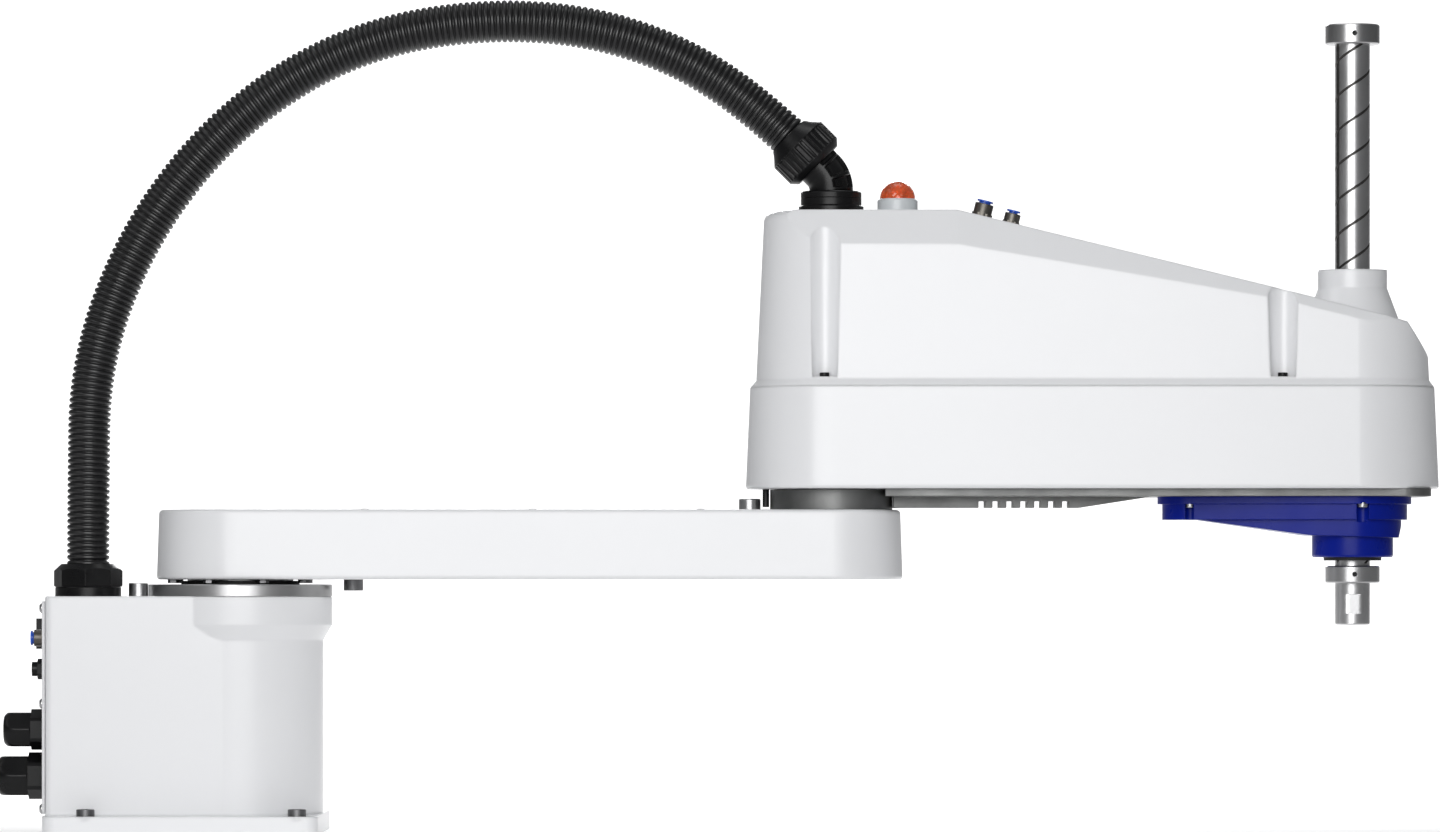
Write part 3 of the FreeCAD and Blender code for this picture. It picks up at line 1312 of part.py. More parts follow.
def elbow_fitting():
    """The swivelling elbow: collar, bend and the threaded end under the hose nut."""
    collar = cylinder(ELBOW_COLLAR_R, 5, (JOINT2_X, ZERO, ELBOW_LOW))
    collar = dressed("Fillet", collar, 1.5, at_height(ELBOW_LOW + 5))
    neck = cylinder(ELBOW_R, ELBOW_NECK, (JOINT2_X, ZERO, ELBOW_LOW))
    spigot = cylinder(SPIGOT_R - RUN_GAP, 8, (JOINT2_X, ZERO, ELBOW_LOW - 8))
    low = (ELBOW_LOW + ELBOW_NECK).number
    x = JOINT2_X.number
    bend_r = ELBOW_BEND.number
    start = Vector(x, 0, low)
    centre = Vector(x - bend_r, 0, low)
    angle = math.radians(ELBOW_TURN.number)
    middle = centre + Vector(math.cos(angle / 2), 0, math.sin(angle / 2)) * bend_r
    end = centre + Vector(math.cos(angle), 0, math.sin(angle)) * bend_r
    path = Part.Wire([Part.Arc(start, middle, end).toShape()])
    bend = doc.addObject("Part::Feature", "Bend")
    section = Part.Wire([Part.makeCircle(ELBOW_R.number, start, Vector(0, 0, 1))])
    bend.Shape = path.makePipeShell([section], True, False)
    way = Rotation(Vector(0, 1, 0), -ELBOW_TURN.number)
    spout = cylinder(ELBOW_R, 10, (as_size(end.x), ZERO, as_size(end.z)), way)
    return join(collar, neck, spigot, bend, spout), end, way


def elbow_nut(end, way):
    """The ribbed clamp nut at the elbow's upper end."""
    direction = way.multVec(Vector(0, 0, 1))
    seat = end + direction * 5
    rim = as_size(22.6)
    body = turned(
        [
            (ELBOW_R + RUN_GAP, ZERO),
            (rim - 4, ZERO),
            (rim, as_size(3.5)),
            (rim, as_size(19)),
            (rim - 2.5, as_size(25)),
            (rim - 5.4, as_size(30)),
            (HOSE_R + 0.2, as_size(30)),
            (HOSE_R + 0.2, as_size(5.2)),
            (ELBOW_R + RUN_GAP, as_size(5.2)),
        ],
        as_size(seat.x),
        ZERO,
        as_size(seat.z),
        way,
    )
    return body


def roof_screw(at, way):
    """A flat screw standing a little proud of the roof, with a hexagon socket."""
    head = cylinder(ROOF_SHANK_R * 2, 1.2, at, way)
    shank = cylinder(ROOF_SHANK_R, 6, at, flipped(way))
    socket = prism(6, ROOF_SHANK_R * 0.9, 3, along(at, way, 0.5), way)
    return cut(join(head, shank), socket)


def cover_screws():
    """One in each side pocket, and three flat ones along the roof."""
    screws = [
        cap_screw(as_size(3.5), as_size(3), as_size(1.9), as_size(4), (x, y, POCKET_FLOOR))
        for x, y in POCKET_SCREWS
    ]
    screws += [roof_screw(at, way) for at, way in ROOF_SCREWS]
    return group(*screws)


LARGE_SIZE = (size("large_port_radius", 6.7), size("large_port_height", 10.5))
SMALL_SIZE = (size("small_port_radius", 5.7), size("small_port_height", 8.6))
SMALL_TUBE_R = size("narrow_tube_radius", 2)
PORT_TAIL = size("roof_port_tail", 6)

node("lamp_base", lamp_base())
node("lamp_lens", lamp_lens())
node("large_air_fitting", push_fitting(LARGE_PORT, SLOPE_TURN, *LARGE_SIZE, TUBE_R, LARGE_TAIL_R, PORT_TAIL))
node("large_air_collet", collet(LARGE_PORT, SLOPE_TURN, *LARGE_SIZE, TUBE_R))
node(
    "small_air_fitting",
    push_fitting(SMALL_PORT, SLOPE_TURN, *SMALL_SIZE, SMALL_TUBE_R, SMALL_TAIL_R, PORT_TAIL),
)
node("small_air_collet", collet(SMALL_PORT, SLOPE_TURN, *SMALL_SIZE, SMALL_TUBE_R))
node("arm2_cover_screws", cover_screws())
node("elbow_base_ring", elbow_ring())
elbow, elbow_end, elbow_way = elbow_fitting()
node("elbow_fitting", elbow)
node("elbow_hose_nut", elbow_nut(elbow_end, elbow_way))

# ---------------------------------------------------------------- hose

# route points (x, z) of the hose, in the plane y = 0; the two ends sit inside the clamp nuts
HOSE_POINTS = [
    (-79.5, 180.3),
    (-79.5, 243),
    (-78, 340),
    (-42, 432.5),
    (20.5, 511),
    (104, 565.5),
    (201, 586),
    (300, 578),
    (388.5, 536.5),
    (441, 484),
]


def rounded_path(points):
    """Straight runs joined by tangent arcs, each as large as its two runs allow."""
    points = [Vector(x, 0, z) for x, z in points]
    edges = []
    start = points[0]
    for before, corner, after in zip(points, points[1:], points[2:]):
        way_in = (corner - before).normalize()
        way_out = (after - corner).normalize()
        half_turn = way_in.getAngle(way_out) / 2
        reach = 0.45 * min((corner - before).Length, (after - corner).Length)
        radius = reach / math.tan(half_turn)
        arc_in = corner - way_in * reach
        arc_out = corner + way_out * reach
        inward = (way_out - way_in).normalize()
        middle = corner + inward * (radius / math.cos(half_turn) - radius)
        edges.append(Part.LineSegment(start, arc_in).toShape())
        edges.append(Part.Arc(arc_in, middle, arc_out).toShape())
        start = arc_out
    edges.append(Part.LineSegment(start, points[-1]).toShape())
    return Part.Wire(edges)


def hose():
    """The corrugated hose as a plain tube."""
    path = rounded_path(HOSE_POINTS)
    first, second = HOSE_POINTS[:2]
    way = Vector(second[0] - first[0], 0, second[1] - first[1])
    section = Part.Wire([Part.makeCircle(HOSE_R.number, Vector(first[0], 0, first[1]), way)])
    tube = doc.addObject("Part::Feature", "HoseTube")
    tube.Shape = path.makePipeShell([section], True, False)
    print("hose length %.1f mm" % path.Length)
    return tube


node("cable_hose", hose())

# ---------------------------------------------------------------- check and write

doc.recompute()
for thing in doc.Objects:
    if "Invalid" in thing.State or "Error" in thing.State:
        raise RuntimeError("%s failed: %s" % (thing.Label, thing.State))
os.makedirs("parts", exist_ok=True)
for part in nodes:
    shape = part.Shape
    if shape.isNull() or not shape.isValid() or not shape.Solids:
        raise RuntimeError("%s has no valid solid" % part.Label)
    shape.exportStep(os.path.join("parts", part.Label + ".step"))
    print("%-22s %2d solids %10.0f mm3" % (part.Label, len(shape.Solids), shape.Volume))
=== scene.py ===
"""The looks of a SCARA robot arm, built round its CAD frame. All lengths are in metres."""

import bisect
import json
import math

import bpy
from mathutils import Matrix, Vector


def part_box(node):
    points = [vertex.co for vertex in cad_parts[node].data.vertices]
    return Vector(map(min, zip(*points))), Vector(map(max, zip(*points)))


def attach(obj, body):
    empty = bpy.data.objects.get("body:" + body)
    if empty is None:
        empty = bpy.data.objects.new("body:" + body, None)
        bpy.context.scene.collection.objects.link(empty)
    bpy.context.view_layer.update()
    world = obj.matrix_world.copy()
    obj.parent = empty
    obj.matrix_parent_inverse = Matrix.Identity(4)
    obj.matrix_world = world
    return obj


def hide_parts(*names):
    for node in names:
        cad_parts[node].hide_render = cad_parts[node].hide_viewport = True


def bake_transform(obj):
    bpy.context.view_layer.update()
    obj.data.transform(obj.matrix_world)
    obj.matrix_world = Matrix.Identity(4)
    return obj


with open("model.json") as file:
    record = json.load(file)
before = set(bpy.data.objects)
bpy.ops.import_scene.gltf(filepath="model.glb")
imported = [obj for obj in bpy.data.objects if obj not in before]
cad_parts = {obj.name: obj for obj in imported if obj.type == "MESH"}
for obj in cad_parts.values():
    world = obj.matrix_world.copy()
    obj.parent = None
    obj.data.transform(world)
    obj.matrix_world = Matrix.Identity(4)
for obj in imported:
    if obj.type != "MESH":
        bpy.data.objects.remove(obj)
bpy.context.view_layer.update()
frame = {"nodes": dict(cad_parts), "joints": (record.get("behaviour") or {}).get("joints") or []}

NODES = frame["nodes"]


def centre_of(node):
    low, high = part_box(node)
    return (low + high) / 2


# places of the elbow's axis, the shaft's axis and the rear panel's outer face, from the frame
JOINT_AT = {joint["name"]: joint.get("pos_m") for joint in frame["joints"]}
ELBOW_X = JOINT_AT["joint_2"][0]
SHAFT_X = JOINT_AT["joint_4"][0]
PANEL_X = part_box("rear_panel")[0].x

UP = Vector((0, 0, 1))
ACROSS = Vector((0, 1, 0))


# ---------------------------------------------------------------- camera and hose

VIEW_MIDDLE_X = 0.375
VIEW_WIDTH = 1.036
VIEW_DISTANCE = 5.2
VIEW_HEIGHT = 0.174
VIEW_SHIFT = 0.1208
VIEW_DEPTH = 40
SENSOR_MM = 36.0


def camera():
    """A level, distant view of the arm's right side, shifted up so that the verticals stay parallel."""
    data = bpy.data.cameras.new("Camera")
    data.sensor_width = SENSOR_MM
    data.lens = SENSOR_MM * VIEW_DISTANCE / VIEW_WIDTH
    data.shift_y = VIEW_SHIFT
    data.clip_end = VIEW_DEPTH
    eye = bpy.data.objects.new("Camera", data)
    eye.location = (VIEW_MIDDLE_X, -VIEW_DISTANCE, VIEW_HEIGHT)
    eye.rotation_euler = (math.pi / 2, 0, 0)
    bpy.context.scene.collection.objects.link(eye)
    bpy.context.scene.camera = eye


# route of the hose (x, z) in the plane y = 0, from the base's clamp nut to the elbow's
HOSE_ROUTE = [
    (-0.0795, 0.1803),
    (-0.0795, 0.243),
    (-0.078, 0.340),
    (-0.042, 0.4325),
    (0.0205, 0.511),
    (0.104, 0.5655),
    (0.201, 0.586),
    (0.300, 0.578),
    (0.3885, 0.5365),
    (0.441, 0.484),
]
HOSE_RADIUS = 0.0153
HOSE_RIDGE = 0.0022
HOSE_PITCH = 0.0043
RIDGE_ROUNDNESS = 0.5
RINGS_PER_RIDGE = 8
HOSE_SIDES = 36
ROUTE_STEPS = 48
DIRECTION_REACH = 0.002


def route_spline(route):
    """The points of the smooth NURBS line through a route in the plane y = 0."""
    curve = bpy.data.curves.new("Route", "CURVE")
    curve.dimensions = "3D"
    curve.resolution_u = ROUTE_STEPS
    spline = curve.splines.new("NURBS")
    spline.points.add(len(route) - 1)
    for point, (x, z) in zip(spline.points, route):
        point.co = (x, 0, z, 1)
    spline.order_u = 3
    spline.use_endpoint_u = True
    holder = bpy.data.objects.new("Route", curve)
    mesh = bpy.data.meshes.new_from_object(holder)
    points = [vertex.co.copy() for vertex in mesh.vertices]
    bpy.data.objects.remove(holder)
    bpy.data.meshes.remove(mesh)
    bpy.data.curves.remove(curve)
    return points


class Line:
    """A polyline that gives the place and the direction at a distance along it."""

    def __init__(self, points):
        self.points = points
        self.at = [0.0]
        for a, b in zip(points, points[1:]):
            self.at.append(self.at[-1] + (b - a).length)
        self.length = self.at[-1]

    def place(self, distance):
        step = min(max(bisect.bisect_left(self.at, distance), 1), len(self.at) - 1)
        a, b = self.at[step - 1], self.at[step]
        share = (distance - a) / (b - a)
        return self.points[step - 1].lerp(self.points[step], share)

    def way(self, distance):
        before = max(0.0, distance - DIRECTION_REACH)
        after = min(self.length, distance + DIRECTION_REACH)
        return (self.place(after) - self.place(before)).normalized()


def link(mesh, name, material=None, sharp=35):
    """A new object for the mesh, shaded smooth but for edges sharper than the angle."""
    mesh.validate()
    piece = bpy.data.objects.new(name, mesh)
    bpy.context.scene.collection.objects.link(piece)
    if material is not None:
        mesh.materials.append(material)
    mesh.polygons.foreach_set("use_smooth", [True] * len(mesh.polygons))
    if sharp:
        mesh.set_sharp_from_angle(angle=math.radians(sharp))
    return piece


def skin(rings, name, closed=False, shift=0, **how):
    """A mesh through rings of points.

    Closed joins the last ring to the first, turned by shift points; otherwise both ends get a cap.
    """
    sides = len(rings[0])
    verts = [point for ring in rings for point in ring]
    faces = []
    last = len(rings) if closed else len(rings) - 1
    for i in range(last):
        j = (i + 1) % len(rings)
        slip = 0 if j else shift
        for k in range(sides):
            m = (k + 1) % sides
            k_next = (k + slip) % sides
            m_next = (m + slip) % sides
            faces.append((i * sides + k, i * sides + m, j * sides + m_next, j * sides + k_next))
    if not closed:
        faces.append(tuple(reversed(range(sides))))
        faces.append(tuple(range(len(verts) - sides, len(verts))))
    mesh = bpy.data.meshes.new(name)
    mesh.from_pydata(verts, [], faces)
    return link(mesh, name, **how)


def hose(material):
    """The corrugated hose: a round-topped ridge every few millimetres."""
    points = route_spline(HOSE_ROUTE)
    line = Line(points)
    count = round(line.length / HOSE_PITCH) * RINGS_PER_RIDGE
    rings = []
    for i in range(count + 1):
        distance = line.length * i / count
        centre = line.place(distance)
        outward = line.way(distance).cross(ACROSS).normalized()
        crest = abs(math.cos(math.pi * i / RINGS_PER_RIDGE)) ** RIDGE_ROUNDNESS
        radius = HOSE_RADIUS - HOSE_RIDGE * (1 - crest)
        ring = []
        for k in range(HOSE_SIDES):
            angle = 2 * math.pi * k / HOSE_SIDES
            ring.append(centre + (ACROSS * math.cos(angle) - outward * math.sin(angle)) * radius)
        rings.append(ring)
    piece = skin(rings, "corrugated_hose", material=material, sharp=0)
    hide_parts("cable_hose")
    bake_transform(piece)


# ---------------------------------------------------------------- materials

COAT_ROUGHNESS = 0.2
BEVEL_SAMPLES = 4
MIN_ROUGHNESS = 0.02

# the parts of the noise's range over which shade and gloss change
SHADE_RANGE = (0.25, 0.75)
GLOSS_RANGE = (0.3, 0.7)


def map_range(tree, source, target):
    """A node that maps the source range to the target range."""
    made = tree.nodes.new("ShaderNodeMapRange")
    for socket, value in zip(made.inputs[1:5], (*source, *target)):
        socket.default_value = value
    return made


class Paint:
    """A node-based material: colour, roughness and bump vary at the scale of the real surface.

    A scale is in cells per metre, an amount is a share of the shade or a change of roughness, and a
    radius or a depth is in metres.
    """

    def __init__(self, name, colour, roughness, metallic=0.0, coat=0.0, specular=0.5):
        self.material = bpy.data.materials.new(name)
        self.material.use_nodes = True
        self.tree = self.material.node_tree
        self.shader = self.tree.nodes["Principled BSDF"]
        self.colour = colour
        self.roughness = roughness
        self.set("Base Color", (*colour, 1))
        self.set("Roughness", roughness)
        self.set("Metallic", metallic)
        self.set("Coat Weight", coat)
        self.set("Coat Roughness", COAT_ROUGHNESS)
        self.set("Specular IOR Level", specular)
        self.bumps = None
        self.place = self.node("ShaderNodeTexCoord").outputs["Object"]

    def set(self, socket, value):
        self.shader.inputs[socket].default_value = value

    def node(self, kind, **values):
        """A new node; each value sets a property of it or else one of its sockets."""
        made = self.tree.nodes.new(kind)
        for key, value in values.items():
            if hasattr(made, key):
                setattr(made, key, value)
            else:
                made.inputs[key.replace("_", " ")].default_value = value
        return made

    def link(self, out, into):
        self.tree.links.new(out, into)

    def stretched(self, stretch):
        """Object coordinates scaled along each axis, for brushed or drawn surfaces."""
        mapping = self.node("ShaderNodeMapping")
        mapping.inputs["Scale"].default_value = stretch
        self.link(self.place, mapping.inputs["Vector"])
        return mapping.outputs["Vector"]

    def noise(self, scale, detail=3.0, stretch=(1, 1, 1)):
        made = self.node("ShaderNodeTexNoise", Scale=scale, Detail=detail)
        self.link(self.stretched(stretch), made.inputs["Vector"])
        return made.outputs["Fac"]

    def mottle(self, scale, amount, stretch=(1, 1, 1)):
        """Slow changes of shade, as dust, handling and uneven paint give."""
        ramp = self.node("ShaderNodeValToRGB")
        dark = [channel * (1 - amount) for channel in self.colour]
        for element, position, colour in zip(ramp.color_ramp.elements, SHADE_RANGE, (dark, self.colour)):
            element.position = position
            element.color = (*colour, 1)
        self.link(self.noise(scale, 4.0, stretch), ramp.inputs["Fac"])
        self.link(ramp.outputs["Color"], self.shader.inputs["Base Color"])
        return self

    def uneven(self, scale, amount, stretch=(1, 1, 1)):
        """Patches that are a little duller or glossier."""
        smoothest = max(MIN_ROUGHNESS, self.roughness - amount)
        spread = map_range(self.tree, GLOSS_RANGE, (smoothest, self.roughness + amount))
        self.link(self.noise(scale, 3.0, stretch), spread.inputs["Value"])
        self.link(spread.outputs["Result"], self.shader.inputs["Roughness"])
        return self

    def grain(self, scale, depth, stretch=(1, 1, 1), detail=3.0):
        """Fine relief, given by its real depth."""
        bump = self.node("ShaderNodeBump", Distance=depth, Strength=1.0)
        self.link(self.noise(scale, detail, stretch), bump.inputs["Height"])
        self.join_bump(bump)
        return self

    def worn_edges(self, radius):
        """Edges that catch the light as broken edges do."""
        bevel = self.node("ShaderNodeBevel", Radius=radius, samples=BEVEL_SAMPLES)
        self.bumps = bevel.outputs["Normal"]
        self.link(self.bumps, self.shader.inputs["Normal"])
        return self

    def join_bump(self, bump):
        """Puts a bump on top of the ones that are there."""
        if self.bumps is not None:
            self.link(self.bumps, bump.inputs["Normal"])
        self.bumps = bump.outputs["Normal"]
        self.link(self.bumps, self.shader.inputs["Normal"])


def white_paint():
    """Satin powder coat: a fine orange-peel skin."""
    paint = Paint("white_powder_coat", (0.80, 0.805, 0.82), 0.30, coat=0.2)
    return paint.worn_edges(0.0030).mottle(3, 0.012).uneven(9, 0.008).grain(700, 0.00002)


def white_plastic():
    """Moulded cover: smoother than the paint, with a faint spark-eroded texture."""
    paint = Paint("white_moulding", (0.815, 0.82, 0.835), 0.30, coat=0.2)
    return paint.worn_edges(0.0030).mottle(2.5, 0.01).uneven(7, 0.008).grain(1600, 0.00001)


def blue_plastic():
    paint = Paint("blue_moulding", (0.002, 0.012, 0.25), 0.30, specular=0.15)
    return paint.worn_edges(0.0008).mottle(18, 0.16).uneven(40, 0.06).grain(1500, 0.00002)


def black_plastic():
    paint = Paint("black_nylon", (0.006, 0.006, 0.0065), 0.33, specular=0.25)
    return paint.worn_edges(0.0006).mottle(30, 0.35).uneven(60, 0.07).grain(1800, 0.00002)


def hose_plastic():
    paint = Paint("hose_nylon", (0.004, 0.004, 0.0045), 0.36, specular=0.7)
    return paint.mottle(45, 0.3).uneven(80, 0.06).grain(2200, 0.00001)


def black_rubber():
    paint = Paint("black_seal", (0.014, 0.014, 0.014), 0.62)
    return paint.mottle(60, 0.3).grain(1400, 0.00003)


def turned_steel():
    """Zinc-plated steel with faint turning marks."""
    paint = Paint("turned_steel", (0.50, 0.50, 0.505), 0.33, metallic=1.0)
    return paint.worn_edges(0.0004).mottle(25, 0.08).uneven(30, 0.03).grain(500, 0.000004, (1, 1, 8))


def dark_steel():
    """Plain bolts that have dulled."""
    paint = Paint("dark_steel", (0.20, 0.20, 0.205), 0.42, metallic=1.0)
    return paint.worn_edges(0.0004).mottle(30, 0.15).uneven(60, 0.05)


def ground_steel():
    """Hardened and ground steel, with faint bands of shade round the shaft."""
    paint = Paint("ground_steel", (0.56, 0.56, 0.565), 0.35, metallic=1.0)
    return paint.mottle(9, 0.04, (1, 1, 4)).uneven(14, 0.015, (1, 1, 5))


def painted_shade_groove():
    """The grooves' floors, painted dark as the shade inside them."""
    paint = Paint("painted_shade_groove", (0.10, 0.095, 0.09), 0.35, metallic=0.9)
    return paint.mottle(60, 0.3).uneven(80, 0.05)


def cast_grey():
    """Sand-blasted and clear-coated cast aluminium."""
    paint = Paint("cast_aluminium", (0.20, 0.203, 0.20), 0.46, metallic=0.85)
    return paint.worn_edges(0.0008).mottle(60, 0.22).uneven(45, 0.08).grain(900, 0.00006)


def motor_black():
    paint = Paint("black_anodised", (0.02, 0.02, 0.022), 0.42, metallic=0.4)
    return paint.worn_edges(0.0006).mottle(50, 0.3).grain(1200, 0.00002)


def nickel():
    paint = Paint("nickel_plate", (0.15, 0.14, 0.125), 0.42, metallic=1.0)
    return paint.worn_edges(0.0003).mottle(90, 0.15).uneven(120, 0.04)


def blue_acetal():
    paint = Paint("blue_acetal", (0.015, 0.09, 0.55), 0.35)
    return paint.worn_edges(0.0003).mottle(120, 0.12).grain(2400, 0.00001)


def lamp_grey():
    paint = Paint("lamp_moulding", (0.62, 0.65, 0.67), 0.28)
    return paint.worn_edges(0.0005).mottle(50, 0.08).grain(1500, 0.00001)


def orange_lens():
    """Clear orange moulding, uneven inside."""
    paint = Paint("orange_lens", (0.95, 0.18, 0.05), 0.10)
    paint.set("Emission Color", (1, 0.25, 0.1, 1))
    paint.set("Emission Strength", 0.06)
    paint.set("Transmission Weight", 0.55)
    paint.set("IOR", 1.49)
    paint.set("Subsurface Weight", 0.3)
    paint.set("Subsurface Radius", (0.006, 0.002, 0.001))
    return paint.mottle(130, 0.6).grain(420, 0.0004, detail=0.0)


def belt_rubber():
    paint = Paint("belt_rubber", (0.02, 0.02, 0.02), 0.6)
    return paint.mottle(80, 0.3).grain(900, 0.00005)


FINISHES = {
    white_paint: ["base_casting", "rear_panel", "arm1_casting", "arm1_top_cover", "arm2_casting"],
    white_plastic: ["arm2_cover"],
    blue_plastic: ["belt_cover"],
    black_plastic: [
        "cable_gland_bodies", "cable_gland_caps", "signal_connector", "hose_base_ring", "hose_base_nut",
        "elbow_base_ring", "elbow_fitting", "elbow_hose_nut", "arm2_cover_screws", "blanking_plug",
    ],
    hose_plastic: ["cable_hose"],
    black_rubber: ["joint1_seal", "shaft_seal_ring"],
    turned_steel: [
        "rear_panel_screws", "base_stop_bolt", "arm1_cover_screws", "belt_cover_screws", "joint1_reducer",
        "joint1_hub", "joint2_stop_pin", "joint2_hub", "joint3_motor_pulley", "joint4_motor_pulley",
        "ball_nut_pulley", "spline_nut_pulley", "upper_stop_collar", "lower_stop_collar",
    ],
    dark_steel: ["mounting_bolts", "arm1_stop_bolt", "joint1_hub_screws"],
    ground_steel: ["shaft", "ball_screw_nut", "spline_nut"],
    cast_grey: ["joint2_reducer", "arm2_bottom_plate", "spindle_housing"],
    motor_black: [
        "joint1_motor", "joint2_motor", "joint3_motor", "joint3_brake", "joint4_motor",
        "collar_set_screws", "arm2_index_post",
    ],
    nickel: ["base_air_fitting", "large_air_fitting", "small_air_fitting"],
    blue_acetal: ["base_air_collet", "large_air_collet", "small_air_collet"],
    lamp_grey: ["lamp_base"],
    orange_lens: ["lamp_lens"],
    belt_rubber: ["joint3_belt", "joint4_belt"],
}


def dress():
    """Makes each material once and puts it on its CAD nodes."""
    made = {}
    for make, names in FINISHES.items():
        material = make().material
        made[make] = material
        for name in names:
            mesh = NODES[name].data
            mesh.materials.clear()
            mesh.materials.append(material)
    return made


# ---------------------------------------------------------------- detailed pieces


def placed(at, way):
    """The matrix that puts a shape, made along +Z, at a point and along a direction."""
    turn = UP.rotation_difference(Vector(way))
    return Matrix.Translation(at) @ turn.to_matrix().to_4x4()


def turned(name, profile, sides, at, way, shape=None, **how):
    """A closed profile of (radius, height) turned round an axis.

    The function shape(radius, height, angle), if there is one, gives the radius instead.
    """
    where = placed(at, way)
    rings = []
    for radius, height in profile:
        ring = []
        for k in range(sides):
            angle = 2 * math.pi * k / sides
            reach = shape(radius, height, angle) if shape else radius
            ring.append(where @ Vector((reach * math.cos(angle), reach * math.sin(angle), height)))
        rings.append(ring)
    return skin(rings, name, closed=True, **how)


def smooth(low, high, value):
    """0 below low, 1 above high and an even S between them."""
    share = min(1.0, max(0.0, (value - low) / (high - low)))
    return share * share * (3 - 2 * share)


def stand_for(piece, body, slot, *nodes):
    """Makes a piece ride on a body and puts it in place of CAD nodes; the slot is not used."""
    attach(piece, body)
    if nodes:
        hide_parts(*nodes)


SHAFT_RADIUS = 0.0125
SHAFT_BORE = 0.009
SHAFT_CHAMFER = 0.0008
SHAFT_SIDES = 180
SCREW_LEAD = 0.050
SCREW_STARTS = 2
TWIST_PER_ROW = 3

# half width and depth of each kind of groove
BALL_GROOVE = (0.0009, 0.0007)
SPLINE_GROOVE = (0.0012, 0.0006)
SPLINE_ANGLES = [math.radians(28), math.radians(208)]

# the grooves' start above the lower collar's foot, the length of their run-out, and the depth from
# which a groove's wall is painted dark as shade
GROOVES_FROM = 0.013
GROOVE_RUN_OUT = 0.004
PAINTED_SHADE_DEPTH = 0.00016

# the flat near the shaft's lower end: its place, height and depth, and half the step at its ends
FLAT_FROM = 0.008
FLAT_HEIGHT = 0.014
FLAT_DEPTH = 0.0012
HALF_STEP = 0.00002


def groove(across, half_width, depth):
    """Depth of a round-bottomed groove at a distance from its middle."""
    share = abs(across) / half_width
    return depth * math.sqrt(1 - share * share) if share < 1 else 0.0


def around(angle, period):
    """The angle's distance from the nearest multiple of the period."""
    return (angle + period / 2) % period - period / 2


def shaft(material, groove_material):
    """The ball-screw spline: two right-hand ball grooves, two straight ones and a flat at the tool end.

    The mesh twists with the screw, so its columns of faces follow the ball grooves.
    """
    low, high = (corner.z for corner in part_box("shaft"))
    grooved_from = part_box("lower_stop_collar")[0].z + GROOVES_FROM
    flat_low = low + FLAT_FROM
    flat_high = flat_low + FLAT_HEIGHT
    flat_reach = SHAFT_RADIUS - FLAT_DEPTH
    helix = math.atan(SCREW_LEAD / (2 * math.pi * SHAFT_RADIUS))

    def cut(angle, z):
        turn = around(angle - 2 * math.pi * z / SCREW_LEAD, 2 * math.pi / SCREW_STARTS)
        deep = groove(turn * SHAFT_RADIUS * math.sin(helix), *BALL_GROOVE)
        for spline in SPLINE_ANGLES:
            turn = around(angle - spline, 2 * math.pi)
            deep = max(deep, groove(turn * SHAFT_RADIUS, *SPLINE_GROOVE))
        return deep * smooth(grooved_from, grooved_from + GROOVE_RUN_OUT, z)

    def radius(angle, z):
        reach = SHAFT_RADIUS - cut(angle, z)
        facing = -math.sin(angle)
        if flat_low < z < flat_high and facing * reach > flat_reach:
            reach = flat_reach / facing
        return reach - max(0.0, SHAFT_CHAMFER - (z - low)) - max(0.0, SHAFT_CHAMFER - (high - z))

    def ring(z, twist_z, reach_of):
        """A ring at one height, turned as the screw is at another or the same height."""
        points = []
        for k in range(SHAFT_SIDES):
            angle = 2 * math.pi * (k / SHAFT_SIDES + twist_z / SCREW_LEAD)
            reach = reach_of(angle)
            points.append(Vector((SHAFT_X + reach * math.cos(angle), reach * math.sin(angle), z)))
        return points

    row = SCREW_LEAD * TWIST_PER_ROW / SHAFT_SIDES
    heights = [low, high]
    for end in (flat_low, flat_high):
        heights += [end - HALF_STEP, end + HALF_STEP]
    heights += [low + row * i for i in range(1, int((high - low) / row))]
    heights.sort()
    rings = [ring(z, z, lambda angle, z=z: radius(angle, z)) for z in heights]
    rings += [ring(z, high, lambda angle: SHAFT_BORE) for z in (high, low)]
    shift = round(SHAFT_SIDES * (high - low) / SCREW_LEAD)
    piece = skin(rings, "splined_shaft", closed=True, shift=shift, material=material, sharp=30)
    # the grooves' deeper faces get a dark material: painted shade inside the grooves
    piece.data.materials.append(groove_material)
    wall_middle = (SHAFT_RADIUS + SHAFT_BORE) / 2
    for face in piece.data.polygons:
        at = face.center
        reach = math.hypot(at.x - SHAFT_X, at.y)
        if at.z > grooved_from and wall_middle < reach < SHAFT_RADIUS - PAINTED_SHADE_DEPTH:
            face.material_index = 1
    stand_for(piece, "quill", "ground_steel", "shaft")


ELBOW_GAP = 0.0003
ELBOW_RADIUS = 0.0157
ELBOW_BEND = 0.020
ELBOW_NECK = 0.006
ELBOW_ANGLE = math.pi / 4
ELBOW_SPOUT = 0.010
ELBOW_ROWS = 100
ELBOW_SIDES = 144
FOOT_RADIUS = 0.0218
FOOT_HEIGHT = 0.005
FOOT_ROUND = 0.0012
FOOT_ROUND_HEIGHT = 0.0014

# the recesses' depth, the half thicknesses of a rib and of the web at their tops and feet, the cosines
# between which the recesses begin, and the ribs' places past the foot, on the bend and past it
ELBOW_RECESS = 0.0028
RIB_HALF = (0.0007, 0.0013)
WEB_HALF = (0.0010, 0.0016)
OUTER_SIDE = (0.10, 0.24)
FIRST_RIB_GAP = 0.0012
MIDDLE_RIB_SHARE = 0.46
LAST_RIB_GAP = 0.001


